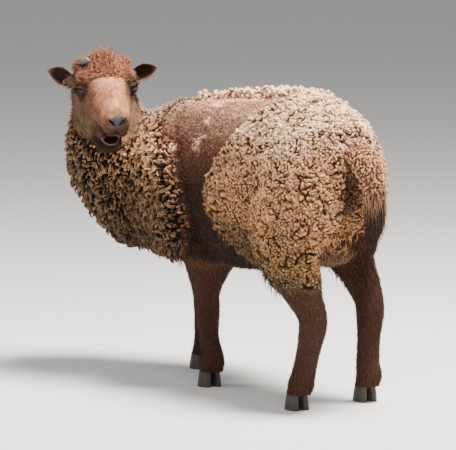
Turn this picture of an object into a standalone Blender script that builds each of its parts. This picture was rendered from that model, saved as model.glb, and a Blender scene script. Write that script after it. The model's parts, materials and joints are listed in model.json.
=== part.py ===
"""A Soay ewe, life size, standing with her head turned back over her left side.

She faces -X with +Z up, and the origin lies on the ground under the middle of her box.
Half of her old fleece is shed: it stays on the neck, the rump and the belly, and the
shoulder and back wear the short new coat.
"""

import math
import random

import bmesh
import bpy
import numpy as np
from mathutils import Matrix, Vector

# Driving sizes of the animal, in metres
GAP = 0.0003
# The head moves out by more, because its creases would otherwise touch the neck
HEAD_GAP = 0.00045
BODY_VOXEL = 0.006
HEAD_VOXEL = 0.003
BODY_TRIANGLES = 1950
HEAD_TRIANGLES = 1250
RING_SIDES = 20
TAIL_SIDES = 12

# Stations of the trunk, from the rump to the breast: x, top, bottom, half width, sideways
TRUNK = (
    (0.390, 0.400, 0.350, 0.022, 0.0),
    (0.377, 0.433, 0.310, 0.050, -0.002),
    (0.345, 0.466, 0.275, 0.073, -0.003),
    (0.300, 0.489, 0.250, 0.085, -0.002),
    (0.240, 0.500, 0.234, 0.091, 0.0),
    (0.170, 0.498, 0.218, 0.100, 0.0),
    (0.100, 0.492, 0.208, 0.106, 0.0),
    (0.030, 0.487, 0.205, 0.103, 0.0),
    (-0.040, 0.481, 0.208, 0.094, 0.0),
    (-0.100, 0.474, 0.215, 0.084, 0.0),
    (-0.150, 0.458, 0.228, 0.070, 0.0),
    (-0.190, 0.425, 0.258, 0.050, -0.004),
    (-0.208, 0.380, 0.295, 0.022, -0.008),
)

# Stations of a limb, top to bottom: x, y, z, half width across, half depth fore and aft
NECK = (
    (-0.060, 0.000, 0.365, 0.074, 0.100),
    (-0.135, -0.006, 0.350, 0.072, 0.100),
    (-0.195, -0.024, 0.342, 0.066, 0.092),
    (-0.236, -0.050, 0.362, 0.059, 0.078),
    (-0.254, -0.076, 0.415, 0.043, 0.058),
    (-0.262, -0.094, 0.475, 0.043, 0.047),
    (-0.256, -0.100, 0.512, 0.034, 0.038),
)
FORE_LEG_LEFT = (
    (-0.060, -0.040, 0.400, 0.026, 0.036),
    (-0.040, -0.060, 0.340, 0.036, 0.056),
    (0.015, -0.068, 0.272, 0.037, 0.054),
    (0.030, -0.068, 0.215, 0.029, 0.038),
    (0.031, -0.064, 0.165, 0.0210, 0.0250),
    (0.031, -0.061, 0.128, 0.0200, 0.0220),
    (0.034, -0.059, 0.085, 0.0155, 0.0165),
    (0.044, -0.058, 0.047, 0.0185, 0.0200),
    (0.036, -0.057, 0.026, 0.0180, 0.0185),
    (0.032, -0.057, 0.010, 0.0190, 0.0195),
)
FORE_LEG_RIGHT = (
    (-0.080, 0.040, 0.400, 0.026, 0.036),
    (-0.090, 0.060, 0.340, 0.036, 0.056),
    (-0.095, 0.062, 0.272, 0.037, 0.054),
    (-0.112, 0.056, 0.215, 0.029, 0.038),
    (-0.132, 0.049, 0.165, 0.0210, 0.0250),
    (-0.146, 0.046, 0.128, 0.0200, 0.0220),
    (-0.152, 0.045, 0.085, 0.0155, 0.0165),
    (-0.148, 0.045, 0.047, 0.0185, 0.0200),
    (-0.157, 0.045, 0.026, 0.0180, 0.0185),
    (-0.161, 0.045, 0.010, 0.0190, 0.0195),
)
HIND_LEG_LEFT = (
    (0.310, -0.036, 0.430, 0.030, 0.050),
    (0.312, -0.058, 0.345, 0.042, 0.078),
    (0.306, -0.074, 0.280, 0.038, 0.064),
    (0.340, -0.082, 0.225, 0.029, 0.043),
    (0.383, -0.082, 0.178, 0.0210, 0.031),
    (0.393, -0.081, 0.150, 0.0205, 0.027),
    (0.375, -0.078, 0.105, 0.0180, 0.0195),
    (0.357, -0.076, 0.062, 0.0185, 0.0200),
    (0.349, -0.075, 0.046, 0.0200, 0.0220),
    (0.340, -0.075, 0.026, 0.0190, 0.0195),
    (0.336, -0.075, 0.010, 0.0190, 0.0195),
)
HIND_LEG_RIGHT = (
    (0.285, 0.034, 0.430, 0.030, 0.050),
    (0.276, 0.050, 0.345, 0.042, 0.076),
    (0.262, 0.066, 0.280, 0.036, 0.060),
    (0.279, 0.078, 0.225, 0.027, 0.038),
    (0.314, 0.080, 0.178, 0.0205, 0.030),
    (0.322, 0.079, 0.150, 0.0205, 0.0265),
    (0.321, 0.077, 0.105, 0.0180, 0.0195),
    (0.322, 0.075, 0.062, 0.0185, 0.0200),
    (0.326, 0.075, 0.046, 0.0200, 0.0220),
    (0.318, 0.075, 0.026, 0.0190, 0.0195),
    (0.314, 0.075, 0.010, 0.0190, 0.0195),
)
TAIL = (
    (0.372, 0.000, 0.432, 0.017, 0.014),
    (0.404, 0.002, 0.426, 0.020, 0.016),
    (0.428, 0.006, 0.397, 0.020, 0.015),
    (0.434, 0.010, 0.350, 0.019, 0.014),
    (0.431, 0.011, 0.305, 0.016, 0.012),
    (0.427, 0.012, 0.272, 0.010, 0.008),
    (0.425, 0.012, 0.258, 0.003, 0.003),
)

# Where each leg leaves the body: a place, and how the parting plane climbs along x and y
LEG_PARTINGS = (
    ("foreleg_left", (0.024, -0.064, 0.2010), (0.0, -0.16), (0.068, 0.056)),
    ("foreleg_right", (-0.121, 0.055, 0.184), (0.0, 0.10), (0.055, 0.042)),
    ("hindleg_left", (0.335, -0.082, 0.222), (0.22, -0.10), (0.085, 0.060)),
    ("hindleg_right", (0.275, 0.080, 0.222), (0.22, 0.10), (0.085, 0.060)),
)
NECK_PARTING = ((-0.142, 0.0, 0.343), (-0.949, 0.0, 0.316), (0.16, 0.17))

# The head has its own frame: x runs from between the eyes to the nose, y to the left, z up
EYES_AT = Vector((-0.187, -0.132, 0.501))
HEADING = math.radians(-21.0)
NOSE_DOWN = math.radians(21.1)
HEAD_ROLL = math.radians(3.0)

# Stations of the head along its own x: x, top, bottom, half width, sideways
SKULL = (
    (-0.090, 0.010, -0.030, 0.022, 0.0),
    (-0.078, 0.026, -0.042, 0.038, 0.0),
    (-0.052, 0.037, -0.052, 0.045, 0.0),
    (-0.020, 0.039, -0.055, 0.046, 0.0),
    (0.005, 0.035, -0.054, 0.045, 0.0),
    (0.030, 0.029, -0.052, 0.0420, -0.002),
    (0.060, 0.022, -0.046, 0.0365, -0.002),
    (0.088, 0.016, -0.037, 0.0300, -0.001),
    (0.108, 0.010, -0.029, 0.0260, 0.0),
    (0.119, 0.004, -0.025, 0.0205, 0.0),
    (0.125, -0.004, -0.018, 0.0110, 0.0),
)
LOWER_JAW = (
    (-0.064, -0.024, -0.078, 0.026, 0.0),
    (-0.048, -0.012, -0.092, 0.039, -0.001),
    (-0.018, -0.010, -0.095, 0.044, -0.003),
    (0.015, -0.014, -0.089, 0.042, -0.005),
    (0.045, -0.024, -0.079, 0.0345, -0.008),
    (0.072, -0.042, -0.076, 0.0260, -0.010),
    (0.092, -0.056, -0.077, 0.0225, -0.009),
    (0.104, -0.061, -0.075, 0.0180, -0.009),
    (0.110, -0.063, -0.071, 0.0080, -0.009),
)
EYE_RADIUS = 0.0130
EYE_PLACE = Vector((0.0, 0.0400, 0.0))
EYE_TURN = math.radians(37)
EYE_LIFT = math.radians(12)
LID = 0.0026
EYE_SLIT = (0.0116, 0.0056)
MOUTH_PLACE = Vector((0.103, -0.005, -0.0525))
MOUTH_SIZE = (0.024, 0.0165, 0.0068)
NOSTRIL_PLACE = Vector((0.1225, 0.0095, -0.0055))

EAR_ROOT = Vector((-0.052, 0.056, -0.004))
EAR_AIM = {
    1: Vector((-0.18, 0.96, 0.16)).normalized(),
    -1: Vector((-0.60, -0.78, 0.05)).normalized(),
}
EAR_LENGTH = 0.046
EAR_HALF_WIDTH = 0.0160
EAR_WALL = 0.0028
EAR_CUP = 0.015
# Rings of an ear: way along it, width and depth of the cup, as shares
EAR_RINGS = (
    (0.00, 0.80, 0.95),
    (0.20, 0.95, 0.95),
    (0.45, 0.98, 0.75),
    (0.70, 0.72, 0.50),
    (0.88, 0.40, 0.25),
    (1.00, 0.12, 0.05),
)
SCUR_ROOT = Vector((-0.032, 0.028, 0.042))
SCUR_AIM = Vector((0.05, 0.80, -0.60)).normalized()
SCUR_LENGTH = 0.019
# No curl of the topknot stands nearer than this to the middle of a scur
SCUR_CLEARING = 0.021
HOOF_HEIGHT = 0.027
HOOF_LENGTH = 0.047
HOOF_WIDTH = 0.0185
HOOF_SIDES = 12
HOOF_FORWARD = -0.006
# Rings of a claw: height, girth and how far the toe runs out, as shares
HOOF_RINGS = ((0.0, 1.0, 1.0), (0.5, 0.95, 0.88), (1.0, 0.86, 0.72))
CLEFT = 0.0008

# How deep the wool stands, and where the shed saddle begins and ends at each height
RUFF_DEPTH = 0.046
RUMP_DEPTH = 0.023
TAIL_DEPTH = 0.009
COAT_DEPTH = 0.002
EDGE_HEIGHTS = (0.16, 0.21, 0.25, 0.315, 0.36, 0.42, 0.48, 0.52)
RUFF_EDGE = (-0.03, 0.010, 0.050, 0.030, -0.012, -0.075, -0.150, -0.20)
FLEECE_EDGE_LEFT = (0.200, 0.188, 0.170, 0.122, 0.112, 0.155, 0.200, 0.260)
FLEECE_EDGE_RIGHT = (0.150, 0.130, 0.110, 0.080, 0.050, -0.120, -0.260, -0.280)
WOOL_FLOOR_PLACES = (-0.25, 0.0, 0.15, 0.25, 0.32, 0.42)
WOOL_FLOOR = (0.222, 0.232, 0.190, 0.190, 0.198, 0.200)

# The solid core reaches this share of the way to the tips, and the clumps do the rest
CORE_SHARE = 0.42
DOME_SPACING = 0.0405
LOCK_SPACING = 0.0355
CURL_SPACING = 0.0175
LOCK_SIDES = 4
# Rings of a lock: way along, width, thickness
LOCK_RINGS = ((0.0, 0.90, 0.9), (0.40, 1.0, 1.0), (0.75, 0.84, 0.8), (1.0, 0.40, 0.4))
LOCK_WIDTH = 0.033
LOCK_THICKNESS = 0.018
LOCK_LENGTH = 0.040
LOCK_ROOT = 0.012
LEFT_TUFTS = ((0.028, -0.07, 0.462), (0.018, -0.09, 0.425), (0.040, -0.08, 0.440))
FLEECE_SEED = 12
TOPKNOT_SEED = 17

MATERIALS = (
    ("fleece", (0.42, 0.27, 0.17), 0.95),
    ("face_hair", (0.22, 0.13, 0.08), 0.90),
    ("leg_hair", (0.055, 0.030, 0.018), 0.90),
    ("eye_glass", (0.30, 0.17, 0.04), 0.12),
    ("scur_horn", (0.30, 0.27, 0.25), 0.55),
    ("hoof_horn", (0.060, 0.048, 0.040), 0.55),
)
SLOT_OF = (
    ("torso", "fleece"),
    ("neck", "fleece"),
    ("tail", "fleece"),
    ("head", "face_hair"),
    ("ear", "face_hair"),
    ("eye", "eye_glass"),
    ("scur", "scur_horn"),
    ("foreleg", "leg_hair"),
    ("hindleg", "leg_hair"),
    ("claw", "hoof_horn"),
)
LEG_NAMES = ("foreleg_left", "foreleg_right", "hindleg_left", "hindleg_right")


def clear_scene():
    for obj in list(bpy.data.objects):
        bpy.data.objects.remove(obj)


def make_collection(name):
    made = bpy.data.collections.new(name)
    bpy.context.scene.collection.children.link(made)
    return made


def make_material(name, colour, roughness):
    made = bpy.data.materials.new(name)
    made.use_nodes = True
    shader = made.node_tree.nodes["Principled BSDF"]
    shader.inputs["Base Color"].default_value = (*colour, 1.0)
    shader.inputs["Roughness"].default_value = roughness
    shader.inputs["Metallic"].default_value = 0.0
    return made


def make_object(name, mesh):
    made = bpy.data.objects.new(name, mesh)
    bpy.context.scene.collection.objects.link(made)
    return made


def curve_through(rows, steps):
    """A smooth curve through rows of numbers, so that a station's place and sizes change together."""
    rows = np.array(rows, float)
    ends = np.vstack([2 * rows[0] - rows[1], rows, 2 * rows[-1] - rows[-2]])
    found = []
    for before, start, end, after in zip(ends, ends[1:], ends[2:], ends[3:]):
        for t in np.arange(steps) / steps:
            found.append(
                start
                + 0.5 * t * (end - before)
                + t * t * (before - 2.5 * start + 2 * end - 0.5 * after)
                + 0.5 * t**3 * (after - before + 3 * (start - end))
            )
    return np.array(found + [rows[-1]])


def ring(centre, side, up, half_width, half_depth, sides=RING_SIDES, squareness=2.3, egg=0.0):
    """Points round one station: a rounded square section, wider below where egg is positive."""
    angle = np.arange(sides) * 2 * math.pi / sides
    across = np.sign(np.cos(angle)) * np.abs(np.cos(angle)) ** (2 / squareness)
    above = np.sign(np.sin(angle)) * np.abs(np.sin(angle)) ** (2 / squareness)
    across = across * (1 - egg * above)
    return centre + np.outer(across * half_width, side) + np.outer(above * half_depth, up)


def loft(rings):
    """A closed mesh through rings of as many points each, with one flat face at each end."""
    made = bmesh.new()
    rows = [[made.verts.new(point) for point in points] for points in rings]
    for lower, upper in zip(rows, rows[1:]):
        for i in range(len(lower)):
            j = (i + 1) % len(lower)
            made.faces.new((lower[i], lower[j], upper[j], upper[i]))
    made.faces.new(rows[0])
    made.faces.new(rows[-1])
    bmesh.ops.recalc_face_normals(made, faces=made.faces)
    mesh = bpy.data.meshes.new("loft")
    made.to_mesh(mesh)
    made.free()
    return mesh


def barrel(stations, steps=3, egg=0.0):
    """A loft whose stations stand upright along x: x, top, bottom, half width, sideways."""
    rings = []
    for x, top, bottom, half_width, sideways in curve_through(stations, steps):
        centre = np.array((x, sideways, (top + bottom) / 2))
        rings.append(ring(centre, (0, 1, 0), (0, 0, 1), half_width, (top - bottom) / 2, egg=egg))
    return loft(rings)


def limb(stations, steps=3, sides=RING_SIDES):
    """A loft whose stations turn with the line through their centres."""
    rows = curve_through(stations, steps)
    tangents = np.gradient(rows[:, :3], axis=0)
    rings = []
    for row, tangent in zip(rows, tangents):
        along = tangent / np.linalg.norm(tangent)
        fore = np.cross((0.0, 1.0, 0.0), along)
        fore = fore / np.linalg.norm(fore)
        across = np.cross(along, fore)
        rings.append(ring(row[:3], across, fore, row[3], row[4], sides, 2.1))
    return loft(rings)


def ball(place, radii, turn=None, segments=20, rings=12):
    made = bmesh.new()
    bmesh.ops.create_uvsphere(made, u_segments=segments, v_segments=rings, radius=1.0)
    shape = Matrix.Translation(place) @ (turn or Matrix.Identity(4)) @ Matrix.Diagonal((*radii, 1.0))
    bmesh.ops.transform(made, matrix=shape, verts=made.verts)
    mesh = bpy.data.meshes.new("ball")
    made.to_mesh(mesh)
    made.free()
    return mesh


def slab(place, normal, half_size, thickness=GAP):
    """A thin box across the normal, which parts a form in two."""
    made = bmesh.new()
    bmesh.ops.create_cube(made, size=1.0)
    ahead = Vector((0.0, 1.0, 0.0)).cross(normal).normalized()
    turn = Matrix((ahead, Vector(normal).cross(ahead), Vector(normal))).transposed().to_4x4()
    size = Matrix.Diagonal((2 * half_size[0], 2 * half_size[1], thickness, 1.0))
    bmesh.ops.transform(made, matrix=Matrix.Translation(place) @ turn @ size, verts=made.verts)
    mesh = bpy.data.meshes.new("slab")
    made.to_mesh(mesh)
    made.free()
    return mesh


def joined(meshes, matrix=None):
    """One mesh that holds several, moved by the matrix."""
    made = bmesh.new()
    for mesh in meshes:
        made.from_mesh(mesh)
    bmesh.ops.transform(made, matrix=matrix or Matrix.Identity(4), verts=made.verts)
    mesh = bpy.data.meshes.new("joined")
    made.to_mesh(mesh)
    made.free()
    return mesh


def apply_modifiers(obj):
    graph = bpy.context.evaluated_depsgraph_get()
    mesh = bpy.data.meshes.new_from_object(obj.evaluated_get(graph))
    obj.modifiers.clear()
    obj.data = mesh


def points_of(mesh):
    points = np.empty(len(mesh.vertices) * 3)
    mesh.vertices.foreach_get("co", points)
    return points.reshape(-1, 3)


def normals_of(mesh):
    normals = np.empty(len(mesh.vertices) * 3)
    mesh.vertex_normals.foreach_get("vector", normals)
    return normals.reshape(-1, 3)


def set_points(mesh, points):
    mesh.vertices.foreach_set("co", np.ascontiguousarray(points).ravel())
    mesh.update()


def relaxed(mesh, rounds):
    """Smooths by passes that shrink and swell in turn, so that thin limbs stay thick."""
    points = points_of(mesh)
    count = len(points)
    edges = np.empty(len(mesh.edges) * 2, int)
    mesh.edges.foreach_get("vertices", edges)
    a, b = edges.reshape(-1, 2).T
    valence = np.bincount(a, minlength=count) + np.bincount(b, minlength=count)
    for turn in range(2 * rounds):
        mean = np.empty_like(points)
        for axis in range(3):
            mean[:, axis] = np.bincount(a, points[b, axis], count)
            mean[:, axis] += np.bincount(b, points[a, axis], count)
        mean /= valence[:, None]
        points = points + (0.6 if turn % 2 == 0 else -0.61) * (mean - points)
    set_points(mesh, points)


def remeshed(obj, voxel, rounds):
    remesh = obj.modifiers.new("skin", "REMESH")
    remesh.mode = "VOXEL"
    remesh.voxel_size = voxel
    apply_modifiers(obj)
    relaxed(obj.data, rounds)


def blended(name, meshes, voxel, rounds):
    """One smooth skin round overlapping forms."""
    obj = make_object(name, joined(meshes))
    remeshed(obj, voxel, rounds)
    return obj


def thinned(obj, triangles, weights=None):
    """Collapses edges, and more of them where the weight is high."""
    obj.data.calc_loop_triangles()
    decimate = obj.modifiers.new("fewer", "DECIMATE")
    decimate.ratio = triangles / len(obj.data.loop_triangles)
    if weights is not None:
        group = obj.vertex_groups.new(name="thin")
        for index, weight in enumerate(weights):
            group.add([index], float(weight), "REPLACE")
        decimate.vertex_group = "thin"
    apply_modifiers(obj)
    obj.vertex_groups.clear()


def cut_away(obj, meshes, solver="EXACT"):
    """Takes each closed mesh out of the object by one Boolean."""
    cutters = make_collection("cutters")
    cutters.hide_render = True
    for mesh in meshes:
        cutter = bpy.data.objects.new("cutter", mesh)
        cutter.display_type = "WIRE"
        cutters.objects.link(cutter)
    cut = obj.modifiers.new("cut", "BOOLEAN")
    cut.operation = "DIFFERENCE"
    cut.solver = solver
    cut.operand_type = "COLLECTION"
    cut.collection = cutters
    apply_modifiers(obj)
    for cutter in list(cutters.objects):
        bpy.data.objects.remove(cutter)
    bpy.data.collections.remove(cutters)


def loose_parts(mesh):
    """Splits a mesh into its separate surfaces, largest first."""
    whole = bmesh.new()
    whole.from_mesh(mesh)
    whole.verts.ensure_lookup_table()
    group = [-1] * len(whole.verts)
    count = 0
    for first in whole.verts:
        if group[first.index] >= 0:
            continue
        group[first.index] = count
        front = [first]
        while front:
            for edge in front.pop().link_edges:
                for vert in edge.verts:
                    if group[vert.index] < 0:
                        group[vert.index] = count
                        front.append(vert)
        count += 1
    found = []
    for index in range(count):
        part = whole.copy()
        part.verts.ensure_lookup_table()
        extra = [vert for vert in part.verts if group[vert.index] != index]
        bmesh.ops.delete(part, geom=extra, context="VERTS")
        made = bpy.data.meshes.new("part")
        part.to_mesh(made)
        found.append((part.calc_volume(), made))
        part.free()
    whole.free()
    return [made for volume, made in sorted(found, key=lambda pair: -pair[0])]


def smooth_step(value, start, end):
    t = np.clip((value - start) / (end - start), 0.0, 1.0)
    return t * t * (3 - 2 * t)


def wool_masks(points):
    """How far each point lies in the ruff and in the rump fleece, from 0 to 1."""
    x, y, z = points.T
    ruff = 1 - smooth_step(x, *(np.interp(z, EDGE_HEIGHTS, RUFF_EDGE) + d for d in (-0.012, 0.006)))
    left = np.interp(z, EDGE_HEIGHTS, FLEECE_EDGE_LEFT)
    right = np.interp(z, EDGE_HEIGHTS, FLEECE_EDGE_RIGHT)
    edge = left + (right - left) * smooth_step(y, -0.005, 0.02)
    rump = smooth_step(x, edge - 0.006, edge + 0.010)
    floor = np.interp(x, WOOL_FLOOR_PLACES, WOOL_FLOOR)
    above = smooth_step(z, floor - 0.016, floor + 0.010)
    return ruff * above, rump * above


def wool_depth(points):
    """How far the tips of the coat stand off the skin."""
    x, y, z = points.T
    ruff, rump = wool_masks(points)
    tail = smooth_step(x, 0.360, 0.375) * (1 - smooth_step(np.abs(y - 0.006), 0.018, 0.034))
    top = smooth_step(z, 0.43, 0.47)
    throat = smooth_step(z, 0.36, 0.45)
    low = 1 - smooth_step(z, 0.24, 0.34)
    ruff_depth = RUFF_DEPTH * (1 - 0.45 * top) * (1 - 0.45 * throat) * (1 - 0.30 * low)
    thigh = 1 - smooth_step(z, 0.20, 0.30)
    crest = smooth_step(z, 0.46, 0.49) * (1 - smooth_step(x, -0.10, 0.02))
    groin = smooth_step(x, 0.25, 0.27) * (1 - smooth_step(z, 0.26, 0.28))
    groin = groin * (1 - smooth_step(np.abs(y), 0.03, 0.045))
    rump_depth = RUMP_DEPTH * (1 - 0.40 * thigh) * (1 - 0.5 * crest) * (1 - 0.6 * groin)
    rump_depth = rump_depth + (TAIL_DEPTH - rump_depth) * tail
    return ruff * ruff_depth + rump * rump_depth * (1 - ruff)


def spread(points, allowed, spacing, taken=()):
    """Picks the allowed point farthest from all picked ones, until none is a spacing away."""
    choice = np.flatnonzero(allowed)
    places = points[choice]
    away = np.full(len(choice), 1.0)
    for index in taken:
        away = np.minimum(away, ((places - points[index]) ** 2).sum(1))
    picked = []
    while away.max() > spacing * spacing:
        pick = int(np.argmax(away))
        picked.append(choice[pick])
        away = np.minimum(away, ((places - places[pick]) ** 2).sum(1))
    return picked


def dome(place, normal, radius, height, chance):
    """A rounded clump of curls: a squashed ball, turned by chance, its lower half sunk in."""
    turn = normal.to_track_quat("Z", "Y").to_matrix().to_4x4()
    stretch = chance.uniform(0.86, 1.14)
    shape = Matrix.Diagonal((radius * stretch, radius / stretch, height, 1.0))
    spin = Matrix.Rotation(chance.uniform(0, 6), 4, "Z") @ Matrix.Rotation(chance.uniform(0, 6), 4, "X")
    made = bmesh.new()
    bmesh.ops.create_icosphere(made, subdivisions=1, radius=1.0)
    bmesh.ops.transform(made, matrix=Matrix.Translation(place) @ turn @ shape @ spin, verts=made.verts)
    mesh = bpy.data.meshes.new("dome")
    made.to_mesh(mesh)
    made.free()
    return mesh


def lock(place, normal, lie, size, reach, chance):
    """A flat tapered lock that leaves the core, bends over and runs down along the lie."""
    lie = (lie - normal * lie.dot(normal)).normalized()
    lie = (lie + normal.cross(lie) * chance.uniform(-0.4, 0.4)).normalized()
    across = normal.cross(lie)
    length = LOCK_LENGTH * size * chance.uniform(0.85, 1.15)
    rings = []
    for t, wide, thick in LOCK_RINGS:
        rise = reach * (1.5 * t - 0.5 * t * t) - LOCK_ROOT * (1 - t)
        run = length * (0.2 * t + 0.8 * t * t)
        slope = normal * (reach * (1.5 - t) + LOCK_ROOT) + lie * (length * (0.2 + 1.6 * t))
        flat = slope.normalized().cross(across)
        centre = place + normal * rise + lie * run
        half_width = LOCK_WIDTH * size * wide * 0.5
        half_thick = LOCK_THICKNESS * size * thick * 0.5
        rings.append(ring(np.array(centre), across, flat, half_width, half_thick, LOCK_SIDES, 2.0))
    return loft(rings)


def add_clumps(obj, meshes):
    """Fuses the clumps with the core by one union and keeps the one closed surface."""
    clumps = make_collection("clumps")
    for mesh in meshes:
        clumps.objects.link(bpy.data.objects.new("clump", mesh))
    union = obj.modifiers.new("clumps", "BOOLEAN")
    union.operation = "UNION"
    union.solver = "MANIFOLD"
    union.operand_type = "COLLECTION"
    union.collection = clumps
    apply_modifiers(obj)
    for clump in list(clumps.objects):
        bpy.data.objects.remove(clump)
    bpy.data.collections.remove(clumps)
    keep_largest(obj)


def ruff_locks(skin, skin_normals, depth, picked, chance):
    """Locks that hang down and back on the neck, and lie back along the belly."""
    meshes = []
    for index in picked:
        normal = Vector(skin_normals[index])
        base = Vector(skin[index]) + normal * (depth[index] * CORE_SHARE)
        underneath = normal.z < -0.6
        lie = Vector((1.0, 0.0, -0.3)) if underneath else Vector((0.35, 0.0, -1.0))
        size = min(1.0, 0.5 + 15 * depth[index])
        meshes.append(lock(base, normal, lie, size, depth[index] * (1 - CORE_SHARE), chance))
    return meshes


def rump_domes(skin, skin_normals, depth, picked, chance):
    """Rounded clumps as high as the coat is deep, smaller where it is thin."""
    meshes = []
    for index in picked:
        normal = Vector(skin_normals[index])
        base = Vector(skin[index]) + normal * (depth[index] * CORE_SHARE)
        radius = DOME_SPACING * chance.uniform(0.62, 0.76) * min(1.0, 0.35 + 34 * depth[index])
        height = max(0.006, depth[index] * (1 - CORE_SHARE) * 1.12)
        meshes.append(dome(base, normal, radius, height, chance))
    return meshes


def shed_tufts(skin, skin_normals, chance):
    """The few small tufts of old fleece left on the bare left shoulder."""
    meshes = []
    for place in LEFT_TUFTS:
        index = np.argmin(((skin - np.array(place)) ** 2).sum(1))
        meshes.append(dome(Vector(skin[index]), Vector(skin_normals[index]), 0.008, 0.008, chance))
    return meshes


def fleece_clumps(skin, skin_normals):
    """All clumps of the old fleece, set on the skin as it is before the core swells."""
    ruff, rump = wool_masks(skin)
    depth = wool_depth(skin)
    chance = random.Random(FLEECE_SEED)
    belly = (rump > 0.6) & (skin_normals[:, 2] < -0.7) & (skin[:, 0] < 0.22)
    hanging = ((ruff > 0.6) & (skin[:, 2] < 0.455)) | belly
    locks = spread(skin, hanging, LOCK_SPACING)
    domes = spread(skin, (np.maximum(ruff, rump) > 0.6) & (depth > 0.007), DOME_SPACING, locks)
    print(len(locks), "locks and", len(domes), "domes in the fleece")
    meshes = ruff_locks(skin, skin_normals, depth, locks, chance)
    meshes += rump_domes(skin, skin_normals, depth, domes, chance)
    return meshes + shed_tufts(skin, skin_normals, chance)


def topknot_curls(skin, skin_normals):
    """Short curls over the crown, from the fringe on the forehead to the poll."""
    x, y, z = skin.T
    chance = random.Random(TOPKNOT_SEED)
    crown = (x > -0.078) & (x < -0.004) & (z > 0.022 - 0.10 * (x + 0.04)) & (np.abs(y) < 0.042)
    for side in (1, -1):
        horn = np.array(mirrored(SCUR_ROOT + SCUR_AIM * SCUR_LENGTH / 2, side))
        crown &= ((skin - horn) ** 2).sum(1) > SCUR_CLEARING**2
    picked = spread(skin, crown, CURL_SPACING)
    print(len(picked), "curls on the crown")
    meshes = []
    for index in picked:
        place, normal = Vector(skin[index]), Vector(skin_normals[index])
        meshes.append(dome(place, normal, CURL_SPACING * 0.68, 0.0080, chance))
    return meshes


def body_forms():
    legs = (FORE_LEG_LEFT, FORE_LEG_RIGHT, HIND_LEG_LEFT, HIND_LEG_RIGHT)
    forms = [barrel(TRUNK, egg=0.06), limb(NECK)] + [limb(leg) for leg in legs]
    forms.append(ball((-0.205, -0.042, 0.312), (0.054, 0.054, 0.062)))
    forms.append(ball((0.312, 0.0, 0.258), (0.046, 0.036, 0.024)))
    return forms


def head_matrix():
    turn = Matrix.Rotation(HEADING, 4, "Z") @ Matrix.Rotation(NOSE_DOWN, 4, "Y")
    return Matrix.Translation(EYES_AT) @ turn @ Matrix.Rotation(HEAD_ROLL, 4, "X")


def mirrored(place, side):
    return Vector((place.x, place.y * side, place.z))


def head_forms():
    forms = [barrel(SKULL, egg=0.16), barrel(LOWER_JAW)]
    for side in (1, -1):
        forms.append(ball((-0.020, 0.027 * side - 0.001, -0.048), (0.038, 0.021, 0.038)))
        forms.append(ball(mirrored(EYE_PLACE, side), (EYE_RADIUS + LID,) * 3))
        forms.append(ball((-0.010, 0.034 * side, 0.015), (0.022, 0.012, 0.010)))
        forms.append(ball((-0.045, 0.036 * side, 0.006), (0.024, 0.014, 0.026)))
        forms.append(ball((0.068, 0.019 * side - 0.004, -0.044), (0.028, 0.012, 0.013)))
        forms.append(ball((0.113, 0.0115 * side, -0.004), (0.012, 0.0095, 0.010)))
        forms.append(ball((0.107, 0.010 * side, -0.023), (0.014, 0.014, 0.010)))
        forms.append(ball(mirrored(EAR_ROOT, side) - EAR_AIM[side] * 0.012, (0.013, 0.017, 0.014)))
        forms.append(ball(mirrored(SCUR_ROOT - SCUR_AIM * 0.006, side), (0.0078,) * 3))
    return forms


def eye_frame(side):
    """The eye's own frame: its z looks out of the slit, and x runs along the slit."""
    look = Matrix.Rotation(side * EYE_TURN, 4, "Z") @ Matrix.Rotation(-EYE_LIFT, 4, "Y")
    ahead = Matrix(((0, 0, 1, 0), (1, 0, 0, 0), (0, 1, 0, 0), (0, 0, 0, 1)))
    return Matrix.Translation(mirrored(EYE_PLACE, side)) @ look @ ahead


def almond(side):
    """The cutter for the slit between the lids: a prism that comes to a point at each corner."""
    points = []
    for i in range(16):
        angle = i * 2 * math.pi / 16
        height = EYE_SLIT[1] * math.sin(angle) * (0.62 + 0.38 * abs(math.sin(angle)))
        points.append((EYE_SLIT[0] * math.cos(angle), height))
    rings = []
    for z, size in ((0.004, 0.75), (0.010, 0.95), (0.020, 1.25)):
        rings.append(np.array([(x * size, y * size, z) for x, y in points]))
    return joined([loft(rings)], eye_frame(side))


def beyond(place, aim, radius):
    """A cutter that takes off what stands beyond a plane, near the place."""
    return slab(Vector(place) + Vector(aim) * (radius / 2), aim, (radius, radius), radius)


def head_cutters():
    cutters = [ball(MOUTH_PLACE, MOUTH_SIZE, None, 12, 8)]
    for side in (1, -1):
        cutters.append(ball(mirrored(EYE_PLACE, side), (EYE_RADIUS + GAP,) * 3, segments=14, rings=8))
        cutters.append(almond(side))
        lean = Matrix.Rotation(side * math.radians(-42), 4, "X") @ Matrix.Rotation(side * 0.5, 4, "Z")
        cutters.append(ball(mirrored(NOSTRIL_PLACE, side), (0.0090, 0.0021, 0.0072), lean, 10, 6))
        cutters.append(beyond(mirrored(EAR_ROOT, side), EAR_AIM[side], 0.030))
        cutters.append(beyond(mirrored(SCUR_ROOT, side), mirrored(SCUR_AIM, side), 0.012))
    return cutters


def ear(side):
    """A leaf with a cup on its front, opened from a round stalk at the root."""
    aim = EAR_AIM[side]
    front = Vector((1.0, -0.12 * side, 0.10))
    front = (front - aim * front.dot(aim)).normalized()
    across = aim.cross(front)
    root = mirrored(EAR_ROOT, side) + aim * GAP
    rings = []
    for t, width, cup in EAR_RINGS:
        centre = root + aim * (EAR_LENGTH * t) - front * (0.004 * math.sin(3 * t))
        outward = [(u, -1) for u in np.linspace(-1, 1, 9)]
        back = [(u, 1) for u in np.linspace(0.9, -0.9, 8)]
        points = []
        for u, face in outward + back:
            depth = EAR_CUP * cup * (u * u - 0.5) + face * EAR_WALL * 0.5 * (1.15 - u * u)
            points.append(centre + across * (EAR_HALF_WIDTH * width * u) + front * depth)
        rings.append(np.array(points))
    return loft(rings)


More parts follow.
